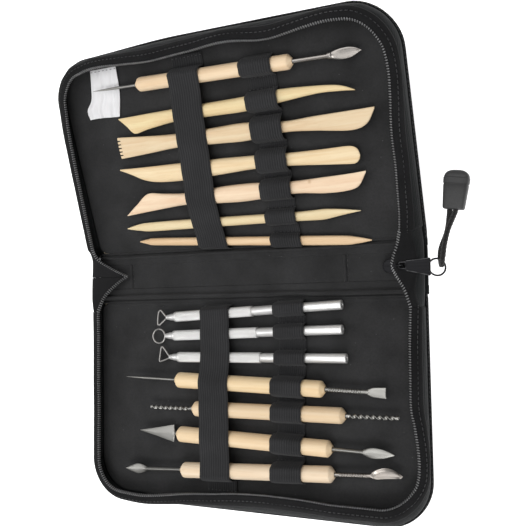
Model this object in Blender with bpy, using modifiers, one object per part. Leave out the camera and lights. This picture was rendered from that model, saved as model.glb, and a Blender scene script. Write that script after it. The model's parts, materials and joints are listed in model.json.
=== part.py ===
"""Zip-up fabric case with clay shaping tools held under elastic bands, open, cover raised.

Metres, +Z up. X runs along the folds and Y runs from the base over the spine to the cover.
The origin is the middle of the base's resting face. Each half of the case is laid out from
its own fold: v is the distance from the fold and h is the height above the half's underside.
"""
import math

import bmesh
import bpy
from mathutils import Vector

MM = 0.001

# driving dimensions
HALF_WIDTH = 106 * MM
HALF_DEPTH = 124 * MM
SPINE_WIDTH = 26 * MM
CORNER_RADIUS = 24 * MM
COVER_ANGLE = math.radians(20.8)
FOLD_HEIGHT = 1.3 * MM
GAP = 0.3 * MM

# layers of each panel, as heights above its underside
SHELL_TOP = 1.4 * MM
BOARD_TOP = SHELL_TOP + GAP + 0.9 * MM
LINING_TOP = BOARD_TOP + GAP + 0.8 * MM
SHELL_START = 1.6 * MM
BOARD_START = 2.2 * MM
LINING_START = 3.5 * MM
BOARD_INSET = 5.5 * MM
LINING_INSET = 4.5 * MM
PIPING_DIAMETER = 2.4 * MM

# wall and zip
WALL_INSET = 1.8 * MM
WALL_THICKNESS = 1.6 * MM
WALL_TOP = 12.2 * MM
WALL_START = 9 * MM
WALL_LEAN = 4 * MM
LEFT_WALL_LEAN = 1 * MM
TAPE_THICKNESS = 2.4 * MM
TAPE_TOP = 14 * MM
ARC_STEPS = 6

# elastic bands
WIDE_BAND = (-28.5 * MM, -9 * MM)
LOOP_BAND = (20 * MM, 40 * MM)
BAND_THICKNESS = 0.8 * MM
BAND_FOOT = LINING_TOP + GAP + BAND_THICKNESS / 2
BAND_CLEARANCE = 0.8 * MM
BAND_DIP = 0.6 * MM
STITCH_WIDTH = 0.8 * MM

# turned handles
HANDLE_SIDES = 16
SOCKET_DEPTH = 6.3 * MM
TANG_DEPTH = 6 * MM

BASE_FOLD_Y = HALF_DEPTH / 2
COVER_FOLD_Y = BASE_FOLD_Y + SPINE_WIDTH
SPINE_MIDDLE = SPINE_WIDTH / 2

# zip pull
SLIDER_X = 96.5 * MM
SLIDER_SIZE = (7 * MM, 6 * MM, 2.6 * MM)
SLIDER_BOTTOM = 5.6 * MM
PULL_HEIGHT = 9.8 * MM
BAIL_RADIUS = 2.1 * MM
BAIL_HOLE = 1.3 * MM
BAIL_WIDTH = 2 * MM
EYE_DISTANCE = 20.5 * MM
EYE_RADIUS = 4.3 * MM
EYE_HOLE = 2.6 * MM
TAB_THICKNESS = 1 * MM
CORD_DIAMETER = 1.8 * MM
GRIP_SIZE = (12 * MM, 22 * MM, 7 * MM)
GRIP_START = 41 * MM
GRIP_X = 127 * MM

# Each tool lies along its own axis: v where it crosses the middle of the case, slope in v per
# unit of x, axis height over the lining, and the half width and half height that pass under
# the elastic.
TOOLS = {
    "needle_spoon": {"half": "cover", "v": 103.9, "slope": -0.015, "rise": 4.1, "pass": (4.7, 4.1)},
    "slant_knife": {"half": "cover", "v": 84.8, "slope": 0.02, "rise": 3.6, "pass": (5.2, 3.6)},
    "comb_knife": {"half": "cover", "v": 70.0, "slope": 0.0, "rise": 3.6, "pass": (6.7, 3.6)},
    "round_knife": {"half": "cover", "v": 52.5, "slope": 0.0, "rise": 3.6, "pass": (6.2, 3.6)},
    "skew_knife": {"half": "cover", "v": 36.0, "slope": 0.01, "rise": 3.6, "pass": (5.8, 3.6)},
    "thin_blade": {"half": "cover", "v": 20.0, "slope": 0.005, "rise": 2.4, "pass": (3.8, 2.4)},
    "thin_stick": {"half": "cover", "v": 9.2, "slope": -0.025, "rise": 2.4, "pass": (3.6, 2.4)},
    "triangle_loop": {"half": "base", "v": 10.4, "slope": -0.052, "rise": 3.1, "pass": (3.9, 3.1)},
    "ring_loop": {"half": "base", "v": 22.7, "slope": -0.031, "rise": 3.1, "pass": (3.9, 3.1)},
    "slant_loop": {"half": "base", "v": 36.9, "slope": -0.005, "rise": 3.1, "pass": (3.9, 3.1)},
    "needle_chisel": {"half": "base", "v": 52.0, "slope": 0.03, "rise": 4.7, "pass": (5.5, 4.7)},
    "twist": {"half": "base", "v": 67.5, "slope": 0.0, "rise": 4.5, "pass": (5.3, 4.5)},
    "blade_leaf": {"half": "base", "v": 84.2, "slope": 0.03, "rise": 4.7, "pass": (5.5, 4.7)},
    "spear_spoon": {"half": "base", "v": 102.2, "slope": -0.048, "rise": 4.6, "pass": (5.4, 4.6)},
}

SIDE = {"base": -1, "cover": 1}


def clear_scene():
    for old in list(bpy.data.objects):
        bpy.data.objects.remove(old, do_unlink=True)


def new_collection(name):
    collection = bpy.data.collections.new(name)
    bpy.context.scene.collection.children.link(collection)
    return collection


def new_material(name, color, roughness, metallic=0.0):
    material = bpy.data.materials.new(name)
    material.use_nodes = True
    shader = material.node_tree.nodes["Principled BSDF"]
    shader.inputs["Base Color"].default_value = (*color, 1.0)
    shader.inputs["Roughness"].default_value = roughness
    shader.inputs["Metallic"].default_value = metallic
    return material


clear_scene()
KIT = new_collection("clay_tool_kit")
CUTTERS = new_collection("cutters")
SHELL_FABRIC = new_material("shell_fabric", (0.010, 0.010, 0.011), 0.85)
LINING_FABRIC = new_material("lining_fabric", (0.022, 0.022, 0.024), 0.9)
ELASTIC = new_material("elastic", (0.018, 0.018, 0.02), 0.8)
BOARD = new_material("board", (0.35, 0.3, 0.22), 0.9)
ZIP_NYLON = new_material("zip_nylon", (0.03, 0.03, 0.032), 0.45)
LABEL_CLOTH = new_material("label_cloth", (0.75, 0.74, 0.76), 0.8)
PULL_METAL = new_material("pull_metal", (0.10, 0.10, 0.11), 0.35, 1.0)
RUBBER = new_material("rubber", (0.04, 0.04, 0.042), 0.6)
WOOD = new_material("wood", (0.78, 0.60, 0.38), 0.55)
STEEL = new_material("steel", (0.45, 0.45, 0.46), 0.3, 1.0)
ALUMINIUM = new_material("aluminium", (0.80, 0.81, 0.83), 0.28, 1.0)


def link(name, data, parent, material, collection=KIT):
    obj = bpy.data.objects.new(name, data)
    collection.objects.link(obj)
    obj.parent = parent
    data.materials.append(material)
    return obj


def new_empty(name, location, parent=None, rotation=(0, 0, 0)):
    empty = bpy.data.objects.new(name, None)
    empty.empty_display_size = 10 * MM
    empty.location = location
    empty.rotation_euler = rotation
    empty.parent = parent
    KIT.objects.link(empty)
    return empty


def add_weld(obj):
    weld = obj.modifiers.new("weld", "WELD")
    weld.merge_threshold = 0.00001


def add_bevel(obj, width, segments=2):
    bevel = obj.modifiers.new("bevel", "BEVEL")
    bevel.width = width
    bevel.segments = segments
    bevel.limit_method = "ANGLE"
    bevel.angle_limit = math.radians(50)


def arc(centre_x, centre_v, radius, start, end, steps=ARC_STEPS):
    """Points on a circle from the start angle to the end angle, in degrees."""
    angles = [math.radians(start + (end - start) * i / steps) for i in range(steps + 1)]
    return [(centre_x + radius * math.cos(a), centre_v + radius * math.sin(a)) for a in angles]


def three_sided_path(left, right, near, far, radius):
    """The right side, far side and left side of a half, with round far corners."""
    far_right = arc(right - radius, far - radius, radius, 0, 90)
    far_left = arc(left + radius, far - radius, radius, 90, 180)
    return [(right, near)] + far_right + far_left + [(left, near)]


def add_outline(data, points):
    spline = data.splines.new("POLY")
    spline.points.add(len(points) - 1)
    for point, (x, y) in zip(spline.points, points):
        point.co = (x, y, 0, 1)
    spline.use_cyclic_u = True


def flat_piece(name, parent, outlines, bottom, top, material):
    """A flat outline, with any holes, filled between two heights above the underside."""
    data = bpy.data.curves.new(name, "CURVE")
    data.dimensions = "2D"
    data.fill_mode = "BOTH"
    data.extrude = (top - bottom) / 2
    for outline in outlines:
        add_outline(data, outline)
    obj = link(name, data, parent, material)
    obj.location.z = (top + bottom) / 2 - FOLD_HEIGHT
    return obj


def strip(name, parent, first_edge, second_edge, thickness, material):
    """A surface between two lines with the same number of points, thickened to a sheet."""
    mesh = bpy.data.meshes.new(name)
    frame = bmesh.new()
    first = [frame.verts.new(point) for point in first_edge]
    second = [frame.verts.new(point) for point in second_edge]
    for i in range(len(first) - 1):
        frame.faces.new((first[i], first[i + 1], second[i + 1], second[i]))
    frame.to_mesh(mesh)
    frame.free()
    obj = link(name, mesh, parent, material)
    solidify = obj.modifiers.new("thickness", "SOLIDIFY")
    solidify.thickness = thickness
    solidify.offset = 0
    return obj


def turned(name, parent, profile, material, sides=HANDLE_SIDES):
    """A profile of (x, radius) points, from its +X end to its -X end, turned about the X axis."""
    mesh = bpy.data.meshes.new(name)
    points = [(radius * MM, 0, x * MM) for x, radius in profile]
    edges = [(i, i + 1) for i in range(len(points) - 1)]
    mesh.from_pydata(points, edges, [])
    obj = link(name, mesh, parent, material)
    obj.rotation_euler = (0, math.pi / 2, 0)
    screw = obj.modifiers.new("turn", "SCREW")
    screw.axis = "Z"
    screw.steps = sides
    screw.render_steps = sides
    screw.use_merge_vertices = True
    screw.merge_threshold = 0.00001
    screw.use_smooth_shade = True
    return obj


def loft(name, parent, stations, material, sides=8):
    """Oval sections along X, each (x, low edge, high edge, half thickness), joined and capped."""
    mesh = bpy.data.meshes.new(name)
    frame = bmesh.new()
    rings = []
    for x, low, high, half_thickness in stations:
        middle = (low + high) / 2
        half_width = (high - low) / 2
        ring = []
        for i in range(sides):
            angle = 2 * math.pi * i / sides
            y = middle + half_width * math.cos(angle)
            z = half_thickness * math.sin(angle)
            ring.append(frame.verts.new((x * MM, y * MM, z * MM)))
        rings.append(ring)
    for ring, following in zip(rings, rings[1:]):
        for i in range(sides):
            j = (i + 1) % sides
            frame.faces.new((ring[i], ring[j], following[j], following[i]))
    frame.faces.new(rings[0])
    frame.faces.new(rings[-1])
    bmesh.ops.recalc_face_normals(frame, faces=frame.faces)
    for face in frame.faces:
        face.smooth = True
    frame.to_mesh(mesh)
    frame.free()
    return link(name, mesh, parent, material)


def smooth_route(points, steps):
    """A smooth curve through the points, with a number of steps in each stretch."""
    ends = [points[0]] + points + [points[-1]]
    route = []
    for a, b, c, d in zip(ends, ends[1:], ends[2:], ends[3:]):
        for i in range(steps):
            t = i / steps
            route.append(0.5 * (2 * b + (c - a) * t + (2 * a - 5 * b + 4 * c - d) * t * t
                                + (3 * b - a - 3 * c + d) * t * t * t))
    route.append(points[-1])
    return route


def wire(name, parent, points, diameter, material):
    data = bpy.data.curves.new(name, "CURVE")
    data.dimensions = "3D"
    data.bevel_depth = diameter / 2
    data.bevel_resolution = 2
    data.use_fill_caps = True
    spline = data.splines.new("POLY")
    spline.points.add(len(points) - 1)
    for point, place in zip(spline.points, points):
        point.co = (*place, 1)
    return link(name, data, parent, material)


def lay(path, side, height):
    """Puts (x, v) points at a height in a half's frame."""
    return [(x, side * v, height - FOLD_HEIGHT) for x, v in path]


def make_panel(half, parent):
    side = SIDE[half]
    layers = (
        ("shell", SHELL_START, 0.0, 0.0, SHELL_TOP, SHELL_FABRIC),
        ("board", BOARD_START, BOARD_INSET, SHELL_TOP + GAP, BOARD_TOP, BOARD),
        ("lining", LINING_START, LINING_INSET, BOARD_TOP + GAP, LINING_TOP, LINING_FABRIC),
    )
    for name, near, inset, bottom, top, material in layers:
        width = HALF_WIDTH - inset
        path = three_sided_path(-width, width, near, HALF_DEPTH - inset, CORNER_RADIUS - inset)
        outline = [(x, side * v) for x, v in path]
        flat_piece(f"{half}_{name}", parent, [outline], bottom, top, material)


def wall_line(lean, left_lean):
    """The wall's line round three sides, moved inwards by how far it leans."""
    edge = HALF_WIDTH - WALL_INSET
    far = HALF_DEPTH - WALL_INSET - lean
    radius = CORNER_RADIUS - WALL_INSET - lean
    return three_sided_path(-edge + left_lean, edge - lean, WALL_START, far, radius)


def make_wall(half, parent):
    side = SIDE[half]
    foot = lay(wall_line(0, 0), side, SHELL_TOP + GAP)
    head_line = wall_line(WALL_LEAN, LEFT_WALL_LEAN)
    head = lay(head_line, side, WALL_TOP)
    strip(f"{half}_wall", parent, foot, head, WALL_THICKNESS, SHELL_FABRIC)
    tape_bottom = lay(head_line, side, WALL_TOP + 2 * GAP)
    tape_top = lay(head_line, side, TAPE_TOP)
    strip(f"{half}_zip_tape", parent, tape_bottom, tape_top, TAPE_THICKNESS, ZIP_NYLON)


def tools_of(half):
    """The half's tools, from the fold outwards."""
    found = [tool for tool in TOOLS.values() if tool["half"] == half]
    return sorted(found, key=lambda tool: tool["v"])


def tool_line(tool, x):
    """The tool's v, axis height and pass sizes where the tool crosses x."""
    v = tool["v"] * MM + tool["slope"] * x
    height = LINING_TOP + GAP + tool["rise"] * MM
    half_width, half_height = (size * MM for size in tool["pass"])
    return v, height, half_width, half_height


def wide_band_profile(half, x):
    """Points (v, h) from the fold to the far side, over every tool where it crosses x."""
    over = []
    tools = [tool_line(tool, x) for tool in tools_of(half)]
    for v, height, _, half_height in tools:
        top = height + half_height + BAND_CLEARANCE
        if over:
            over.append(((over[-1][0] + v) / 2, (over[-1][1] + top) / 2 - BAND_DIP))
        over.append((v, top))
    ends = []
    for (v, height, half_width, half_height), way in ((tools[0], -1), (tools[-1], 1)):
        side_v = v + way * (half_width + GAP)
        corner = (v + way * 0.62 * half_width, height + half_height + BAND_CLEARANCE)
        ends.append([corner, (side_v, height + 0.8 * MM), (side_v, height - 1 * MM),
                     (side_v + way * STITCH_WIDTH, BAND_FOOT)])
    far = (HALF_DEPTH - LINING_INSET - 3 * MM, BAND_FOOT)
    return ends[0][::-1] + over + ends[1] + [far]


def loop_band_profile(half, x):
    """Points (v, h) of an elastic sewn down on both sides of each tool where it crosses x."""
    profile = []
    for tool in tools_of(half):
        v, height, half_width, half_height = tool_line(tool, x)
        top = height + half_height + BAND_CLEARANCE
        shoulder = height + 0.8 * MM
        rise = [(-half_width - STITCH_WIDTH, BAND_FOOT), (-half_width, height - 1 * MM),
                (-half_width, shoulder), (-0.62 * half_width, top)]
        fall = [(-across, up) for across, up in reversed(rise)]
        profile += [(v + across, up) for across, up in rise + fall]
    return profile


def make_band(name, half, parent, span, profile):
    """An elastic whose profile is worked out at each of its two edges."""
    side = SIDE[half]
    edges = []
    for x in span:
        edges.append([(x, side * v, height - FOLD_HEIGHT) for v, height in profile(half, x)])
    strip(name, parent, edges[0], edges[1], BAND_THICKNESS, ELASTIC)


def make_half(half, parent):
    make_panel(half, parent)
    make_wall(half, parent)
    make_band(f"{half}_wide_band", half, parent, WIDE_BAND, wide_band_profile)
    make_band(f"{half}_loop_band", half, parent, LOOP_BAND, loop_band_profile)


def make_label(parent):
    left, right = -87 * MM, -60 * MM
    near, far = 91 * MM, 117 * MM
    outline = [(left, near), (right, near), (right, far), (left, far)]
    bottom = LINING_TOP + GAP
    flat_piece("care_label", parent, [outline], bottom, bottom + 0.5 * MM, LABEL_CLOTH)


def make_spine(parent):
    layers = (
        ("shell", SHELL_START, 0.0, 0.0, SHELL_TOP, SHELL_FABRIC),
        ("board", BOARD_START, BOARD_INSET, SHELL_TOP + GAP, BOARD_TOP, BOARD),
        ("lining", LINING_START, LINING_INSET, BOARD_TOP + GAP, LINING_TOP, LINING_FABRIC),
    )
    for name, near, inset, bottom, top, material in layers:
        x = HALF_WIDTH - inset
        far = SPINE_WIDTH - near
        outline = [(-x, near), (x, near), (x, far), (-x, far)]
        flat_piece(f"spine_{name}", parent, [outline], bottom, top, material)


def make_piping(name, parent, v):
    """A round cord in the fabric of a fold, lying on the fold's axis."""
    end = HALF_WIDTH - WALL_INSET
    wire(name, parent, [(-end, v, 0), (end, v, 0)], PIPING_DIAMETER, SHELL_FABRIC)


def make_gusset(name, parent, side, reach):
    """The wall's end folded flat on the spine: a V that points inwards by its reach."""
    edge = HALF_WIDTH - WALL_INSET
    half_span = 10 * MM
    tip = 2.5 * MM
    points = [(edge, -half_span), (edge, half_span), (edge - reach * 0.45, half_span * 0.75),
              (edge - reach, tip), (edge - reach, -tip), (edge - reach * 0.45, -half_span * 0.75)]
    outline = [(side * x, SPINE_MIDDLE + y) for x, y in points]
    bottom = LINING_TOP + 0.4 * MM
    flat_piece(name, parent, [outline], bottom, bottom + 1.2 * MM, SHELL_FABRIC)


def make_slider(parent):
    """A block with a ring on top that holds the pull tab."""
    length, width, height = SLIDER_SIZE
    bpy.ops.mesh.primitive_cube_add(size=1)
    block = bpy.context.active_object
    block.name = "zip_slider"
    block.data.transform(block.matrix_world.Diagonal((length, width, height, 1)))
    for collection in list(block.users_collection):
        collection.objects.unlink(block)
    KIT.objects.link(block)
    block.parent = parent
    block.data.materials.append(PULL_METAL)
    block.location.z = SLIDER_BOTTOM + height / 2 - PULL_HEIGHT
    data = bpy.data.curves.new("bail", "CURVE")
    data.dimensions = "2D"
    data.fill_mode = "BOTH"
    data.extrude = BAIL_WIDTH / 2
    add_outline(data, arc(0, 0, BAIL_RADIUS, 0, 345, 23))
    add_outline(data, arc(0, 0, BAIL_HOLE, 0, 330, 11))
    bail = link("bail", data, parent, PULL_METAL, CUTTERS)
    bail.rotation_euler = (math.pi / 2, 0, 0)
    ring = as_mesh(bail)
    union = block.modifiers.new("ring", "BOOLEAN")
    union.operation = "UNION"
    union.solver = "EXACT"
    union.object = ring


def as_mesh(curve_object):
    """Replaces a curve object with a closed mesh of it, to be used in a Boolean."""
    bpy.context.view_layer.update()
    graph = bpy.context.evaluated_depsgraph_get()
    mesh = bpy.data.meshes.new_from_object(curve_object.evaluated_get(graph))
    frame = bmesh.new()
    frame.from_mesh(mesh)
    bmesh.ops.remove_doubles(frame, verts=frame.verts, dist=0.000005)
    frame.to_mesh(mesh)
    frame.free()
    name = curve_object.name
    place = curve_object.matrix_world.copy()
    bpy.data.objects.remove(curve_object, do_unlink=True)
    solid = bpy.data.objects.new(name, mesh)
    CUTTERS.objects.link(solid)
    solid.matrix_world = place
    solid.hide_render = True
    solid.display_type = "WIRE"
    return solid


def make_tab(parent):
    """A tapered plate with a slot for the slider's ring and a round eye at its far end."""
    slot_near = 0.6 * MM
    slot_far = 3.8 * MM
    slot_half = 1.4 * MM
    near_half = 2.9 * MM
    far_half = 2.1 * MM
    neck = math.degrees(math.asin(far_half / EYE_RADIUS))
    eye = arc(EYE_DISTANCE, 0, EYE_RADIUS, -180 + neck, 180 - neck, 16)
    outline = [(-0.6 * MM, -near_half)] + eye + [(-0.6 * MM, near_half)]
    slot = [(slot_near, -slot_half), (slot_far, -slot_half), (slot_far, slot_half), (slot_near, slot_half)]
    hole = arc(EYE_DISTANCE, 0, EYE_HOLE, 0, 330, 11)
    data = bpy.data.curves.new("pull_tab", "CURVE")
    data.dimensions = "2D"
    data.fill_mode = "BOTH"
    data.extrude = TAB_THICKNESS / 2
    for points in (outline, slot, hole):
        add_outline(data, points)
    link("pull_tab", data, parent, PULL_METAL)


def make_grip(parent):
    """The cord's loop through the eye, and the rubber grip on both its ends, from the eye's centre."""
    length = GRIP_START - SPINE_MIDDLE
    across = GRIP_X - SLIDER_X - EYE_DISTANCE
    low = GRIP_SIZE[2] / 2 + GAP - PULL_HEIGHT
    strand = 1.9 * MM
    route = [
        Vector((across + strand, length - GAP, low)),
        Vector((across + strand - 1 * MM, length - 6 * MM, low + 2.2 * MM)),
        Vector((across * 0.55, length * 0.56, -1.0 * MM)),
        Vector((1.4 * MM, length * 0.36, 1.2 * MM)),
        Vector((0.6 * MM, 4.6 * MM, 1.9 * MM)),
        Vector((0.3 * MM, 1.9 * MM, 1.2 * MM)),
        Vector((0, 1.0 * MM, 0)),
        Vector((-0.3 * MM, 1.9 * MM, -1.2 * MM)),
        Vector((-0.2 * MM, 4.6 * MM, -2.0 * MM)),
        Vector((1.6 * MM, length * 0.36, -2.9 * MM)),
        Vector((across * 0.48, length * 0.56, -4.6 * MM)),
        Vector((across - strand - 0.4 * MM, length - 6 * MM, low + 0.2 * MM)),
        Vector((across - strand, length - GAP, low)),
    ]
    wire("pull_cord", parent, smooth_route(route, 2), CORD_DIAMETER, RUBBER)
    half_width = GRIP_SIZE[0] / 2
    shoulder = GRIP_SIZE[1] - 4 * MM
    crown = arc(0, shoulder, half_width, 20, 160, 6)
    crown = [(x, shoulder + (v - shoulder) * 4 * MM / half_width) for x, v in crown]
    outline = [(-half_width, 0), (half_width, 0)] + [(half_width, shoulder)] + crown
    outline.append((-half_width, shoulder))
    data = bpy.data.curves.new("pull_grip", "CURVE")
    data.dimensions = "2D"
    data.fill_mode = "BOTH"
    data.extrude = GRIP_SIZE[2] / 2
    add_outline(data, outline)
    grip = link("pull_grip", data, parent, RUBBER)
    grip.location = (across, length, low)
    add_weld(grip)
    add_bevel(grip, 1.2 * MM)


def make_pull(spine):
    slider = new_empty("slider_travel", (SLIDER_X, SPINE_MIDDLE, PULL_HEIGHT - FOLD_HEIGHT), spine)
    make_slider(slider)
    tab = new_empty("tab_hinge", (0, 0, 0), slider)
    make_tab(tab)
    grip = new_empty("grip_swing", (EYE_DISTANCE, 0, 0), tab)
    make_grip(grip)


def handle(name, parent, left, right, radius, socket_left, socket_right):
    """A turned wooden handle with chamfered ends and a blind socket in each."""
    end = radius * 0.62
    profile = [
        (right - SOCKET_DEPTH / MM, 0), (right - SOCKET_DEPTH / MM, socket_right),
        (right, socket_right), (right, end), (right - 3.2, radius * 0.93), (right - 5, radius),
        ((left + right) / 2, radius * 0.97), (left + 4, radius), (left + 2, radius * 0.93),
        (left, end), (left, socket_left),
        (left + SOCKET_DEPTH / MM, socket_left), (left + SOCKET_DEPTH / MM, 0),
    ]
    turned(name, parent, profile, WOOD)


def needle(name, parent, tip, socket, radius):
    """A round needle whose inner end sits in the handle's left socket."""
    root = socket + TANG_DEPTH / MM
    profile = [(root, 0), (root, radius), (tip + 14, radius), (tip + 4, radius * 0.55), (tip, 0)]
    turned(name, parent, profile, STEEL, 8)


def rod(name, parent, left, right, radius, point_at_left):
    taper = 3
    if point_at_left:
        profile = [(right, 0), (right, radius), (left + taper, radius), (left, 0)]
    else:
        profile = [(right, 0), (right - taper, radius), (left, radius), (left, 0)]
    turned(name, parent, profile, STEEL, 8)


def shaft_sections(start, end, radius):
    return [(start, -radius, radius, radius), (end, -radius, radius, radius)]


def loop_handle(name, parent, left, knurl_end, right, radius, socket):
    """An aluminium handle: cone nose with a socket, knurled grip, groove, slimmer plain end."""
    plain = radius * 0.87
    profile = [
        (right, 0), (right, plain - 0.4), (right - 0.4, plain), (knurl_end + 2, plain),
        (knurl_end + 1.4, plain - 0.6), (knurl_end + 0.6, plain - 0.6), (knurl_end, radius),
        (left + 7, radius), (left + 6, radius * 0.8), (left, radius * 0.72), (left, socket),
        (left + 5, socket), (left + 5, 0),
    ]
    turned(name, parent, profile, ALUMINIUM, 12)


def wire_loop(name, parent, root, shape):
    """A wire that leaves the nose, follows the shape and comes back beside itself."""
    leg = 0.75
    points = [(root + 4.6, leg)] + shape + [(root + 4.6, -leg)]
    wire(name, parent, [(x * MM, y * MM, 0) for x, y in points], 1.0 * MM, STEEL)


def place_tool(name, halves):
    tool = TOOLS[name]
    side = SIDE[tool["half"]]
    v, height, _, _ = tool_line(tool, 0)
    turn = side * math.atan(tool["slope"])
    place = (0, side * v, height - FOLD_HEIGHT)
    return new_empty(name + "_axis", place, halves[tool["half"]], (0, 0, turn))


def make_wooden_tools(halves):
    """Knives and sticks cut from one piece of wood: (x, low edge, high edge, half thickness)."""
    shapes = {
        "slant_knife": [
            (-63, 2.9, 3.6, 0.7), (-58.5, -1.9, 3.6, 0.9), (-54, -6.5, 3.6, 1.1), (-44, -5.2, 3.7, 1.8),
            (-24, -3.4, 3.8, 3.2), (0, -3.8, 3.8, 3.6), (20, -4.2, 3.8, 3.5), (41, -2.6, 4.4, 2.6),
            (62, -1.2, 3.0, 1.4), (75, -1.8, 1.2, 0.9), (83, -2.7, -2.2, 0.5)],
        "comb_knife": [
            (-67, -6.6, 6.2, 0.8), (-60, -6.2, 5.8, 1.0), (-45, -5.2, 4.8, 1.9), (-26, -4.0, 4.0, 3.2),
            (0, -4.6, 4.6, 3.6), (18, -5.0, 5.0, 3.5), (41, -3.0, 3.0, 2.6), (59, -4.2, 3.6, 1.6),
            (78, -6.2, 4.0, 1.0), (87, -3.8, 4.2, 0.8), (92, 3.4, 4.4, 0.5)],
        "round_knife": [
            (-70, 3.9, 4.6, 0.5), (-62, 0.4, 4.5, 0.8), (-54, -3.4, 4.4, 1.2), (-44, -5.4, 4.4, 2.0),
            (-26, -5.9, 4.4, 3.2), (0, -4.6, 4.4, 3.6), (18, -3.6, 4.2, 3.4), (40, -3.0, 3.5, 2.6),
            (60, -4.6, 4.2, 1.6), (74, -5.6, 4.8, 1.0), (80, -5.0, 2.4, 0.8), (82.5, -3.6, -1.0, 0.5)],
        "skew_knife": [
            (-72, -7.2, -6.7, 0.5), (-63, -6.4, -0.4, 0.9), (-54, -5.6, 5.2, 1.2), (-42, -4.6, 4.2, 2.2),
            (-28, -3.7, 3.3, 3.1), (-8, -4.6, 4.6, 3.6), (13, -5.0, 5.0, 3.6), (40, -3.4, 3.6, 2.6),
            (58, -4.8, 4.0, 1.6), (70, -4.8, 4.3, 1.1), (78, -2.8, 4.7, 0.8), (83, 4.2, 5.1, 0.5)],
        "thin_blade": [
            (-75, -0.2, 0.4, 0.4), (-66, -1.8, 2.3, 0.9), (-57, -2.7, 2.9, 1.5), (-28, -2.8, 2.9, 2.3),
            (20, -2.6, 2.5, 2.3), (50, -2.0, 1.6, 1.6), (66, -1.2, 2.9, 1.0), (73, 0.0, 2.7, 0.7),
            (77, 0.9, 1.4, 0.4)],
        "thin_stick": [
            (-68, -0.3, 0.3, 0.3), (-62, -1.6, 1.6, 1.4), (-54, -2.3, 2.3, 2.1), (0, -2.5, 2.5, 2.3),
            (60, -2.7, 2.7, 2.0), (72, -2.0, 2.0, 1.2), (81, -0.3, 0.3, 0.4)],
    }
    for name, stations in shapes.items():
        parent = place_tool(name, halves)
        loft(name, parent, stations, WOOD, 10)


def make_loop_tools(halves):
    shapes = {
        "triangle_loop": (-51, 11, 63, [
            (-51.5, 0.75), (-54.5, 4.2), (-55.6, 4.5), (-56.5, 3.6), (-57.3, 0), (-57.6, -3.4),
            (-57.0, -4.2), (-56.0, -4.0), (-51.5, -0.75)]),
        "ring_loop": (-52, 15, 63, [
            (-52.4, 0.75), *[(-56.6 + 4.3 * math.cos(math.radians(a)), 4.3 * math.sin(math.radians(a)))
                             for a in range(22, 360, 35)], (-52.4, -0.75)]),
        "slant_loop": (-49, 17, 65, [
            (-49.5, 0.75), (-53.4, 5.6), (-54.6, 6.1), (-55.2, 5.0), (-56.3, -1.6), (-56.2, -2.6),
            (-55.0, -2.6), (-49.5, -0.75)]),
    }
    for name, (root, knurl_end, right, shape) in shapes.items():
        parent = place_tool(name, halves)
        loop_handle(name + "_handle", parent, root, knurl_end, right, 3.1, 1.6)
        wire_loop(name + "_wire", parent, root, shape)


def make_handle_tools(halves):
    """Turned wooden handles with a steel working end in each socket."""
    tang = TANG_DEPTH / MM

    spoon = place_tool("needle_spoon", halves)
    handle("needle_spoon_handle", spoon, -47, 52, 4.1, 1.1, 1.5)
    needle("needle_spoon_needle", spoon, -77, -47, 0.8)
    loft("needle_spoon_spoon", spoon, shaft_sections(52 - tang, 71, 1.2) + [
        (71.6, -1.7, 1.7, 1.7), (73, -1.7, 1.7, 1.7), (75, -2.4, 2.4, 1.2), (80, -3.7, 3.7, 1.2),
        (84, -3.8, 3.8, 1.1), (87.5, -2.6, 2.6, 0.8), (89, -0.8, 0.8, 0.5)], STEEL)

    chisel = place_tool("needle_chisel", halves)
    handle("needle_chisel_handle", chisel, -46, 52, 4.7, 1.1, 1.5)
    needle("needle_chisel_needle", chisel, -80, -46, 0.8)
    loft("needle_chisel_chisel", chisel, shaft_sections(52 - tang, 74, 1.2) + [
        (77, -1.8, 1.8, 0.9), (80, -2.6, 2.6, 0.7), (86, -3.3, 3.3, 0.4)], STEEL)

    twist = place_tool("twist", halves)
    handle("twist_handle", twist, -34, 65, 4.5, 1.5, 1.5)
    rod("twist_left_rod", twist, -62, -34 + tang, 1.15, True)
    rod("twist_right_rod", twist, 65 - tang, 93, 1.15, False)

    blade = place_tool("blade_leaf", halves)
    handle("blade_leaf_handle", blade, -43, 56, 4.7, 1.5, 1.5)
    loft("blade_leaf_blade", blade, [
        (-70, -0.4, 0.4, 0.3), (-58, -2.6, 2.6, 0.5), (-46.5, -4.9, 4.9, 0.6), (-45.2, -4.4, 4.4, 0.8),
        (-44.5, -1.2, 1.2, 1.0), (-43.8, -1.2, 1.2, 1.2), (-43 + tang, -1.2, 1.2, 1.2)], STEEL)
    loft("blade_leaf_leaf", blade, shaft_sections(56 - tang, 72, 1.2) + [
        (76, -2.4, 2.4, 0.9), (81, -3.1, 3.1, 0.8), (86, -2.4, 2.4, 0.6), (92, -0.3, 0.3, 0.3)], STEEL)

    spear = place_tool("spear_spoon", halves)
    handle("spear_spoon_handle", spear, -42, 57, 4.6, 1.5, 1.5)
    loft("spear_spoon_spear", spear, [
        (-81, -0.3, 0.3, 0.3), (-76, -2.0, 2.0, 0.6), (-72, -3.0, 3.0, 0.7), (-68, -2.3, 2.3, 0.9),
        (-64.5, -1.2, 1.2, 1.2), (-42 + tang, -1.2, 1.2, 1.2)], STEEL)
    loft("spear_spoon_spoon", spear, shaft_sections(57 - tang, 76, 1.2) + [
        (79, -2.4, 2.4, 1.2), (84, -4.2, 4.2, 1.3), (89, -4.0, 4.0, 1.2), (93, -2.4, 2.4, 0.8),
        (94.5, -0.8, 0.8, 0.5)], STEEL)


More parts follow.
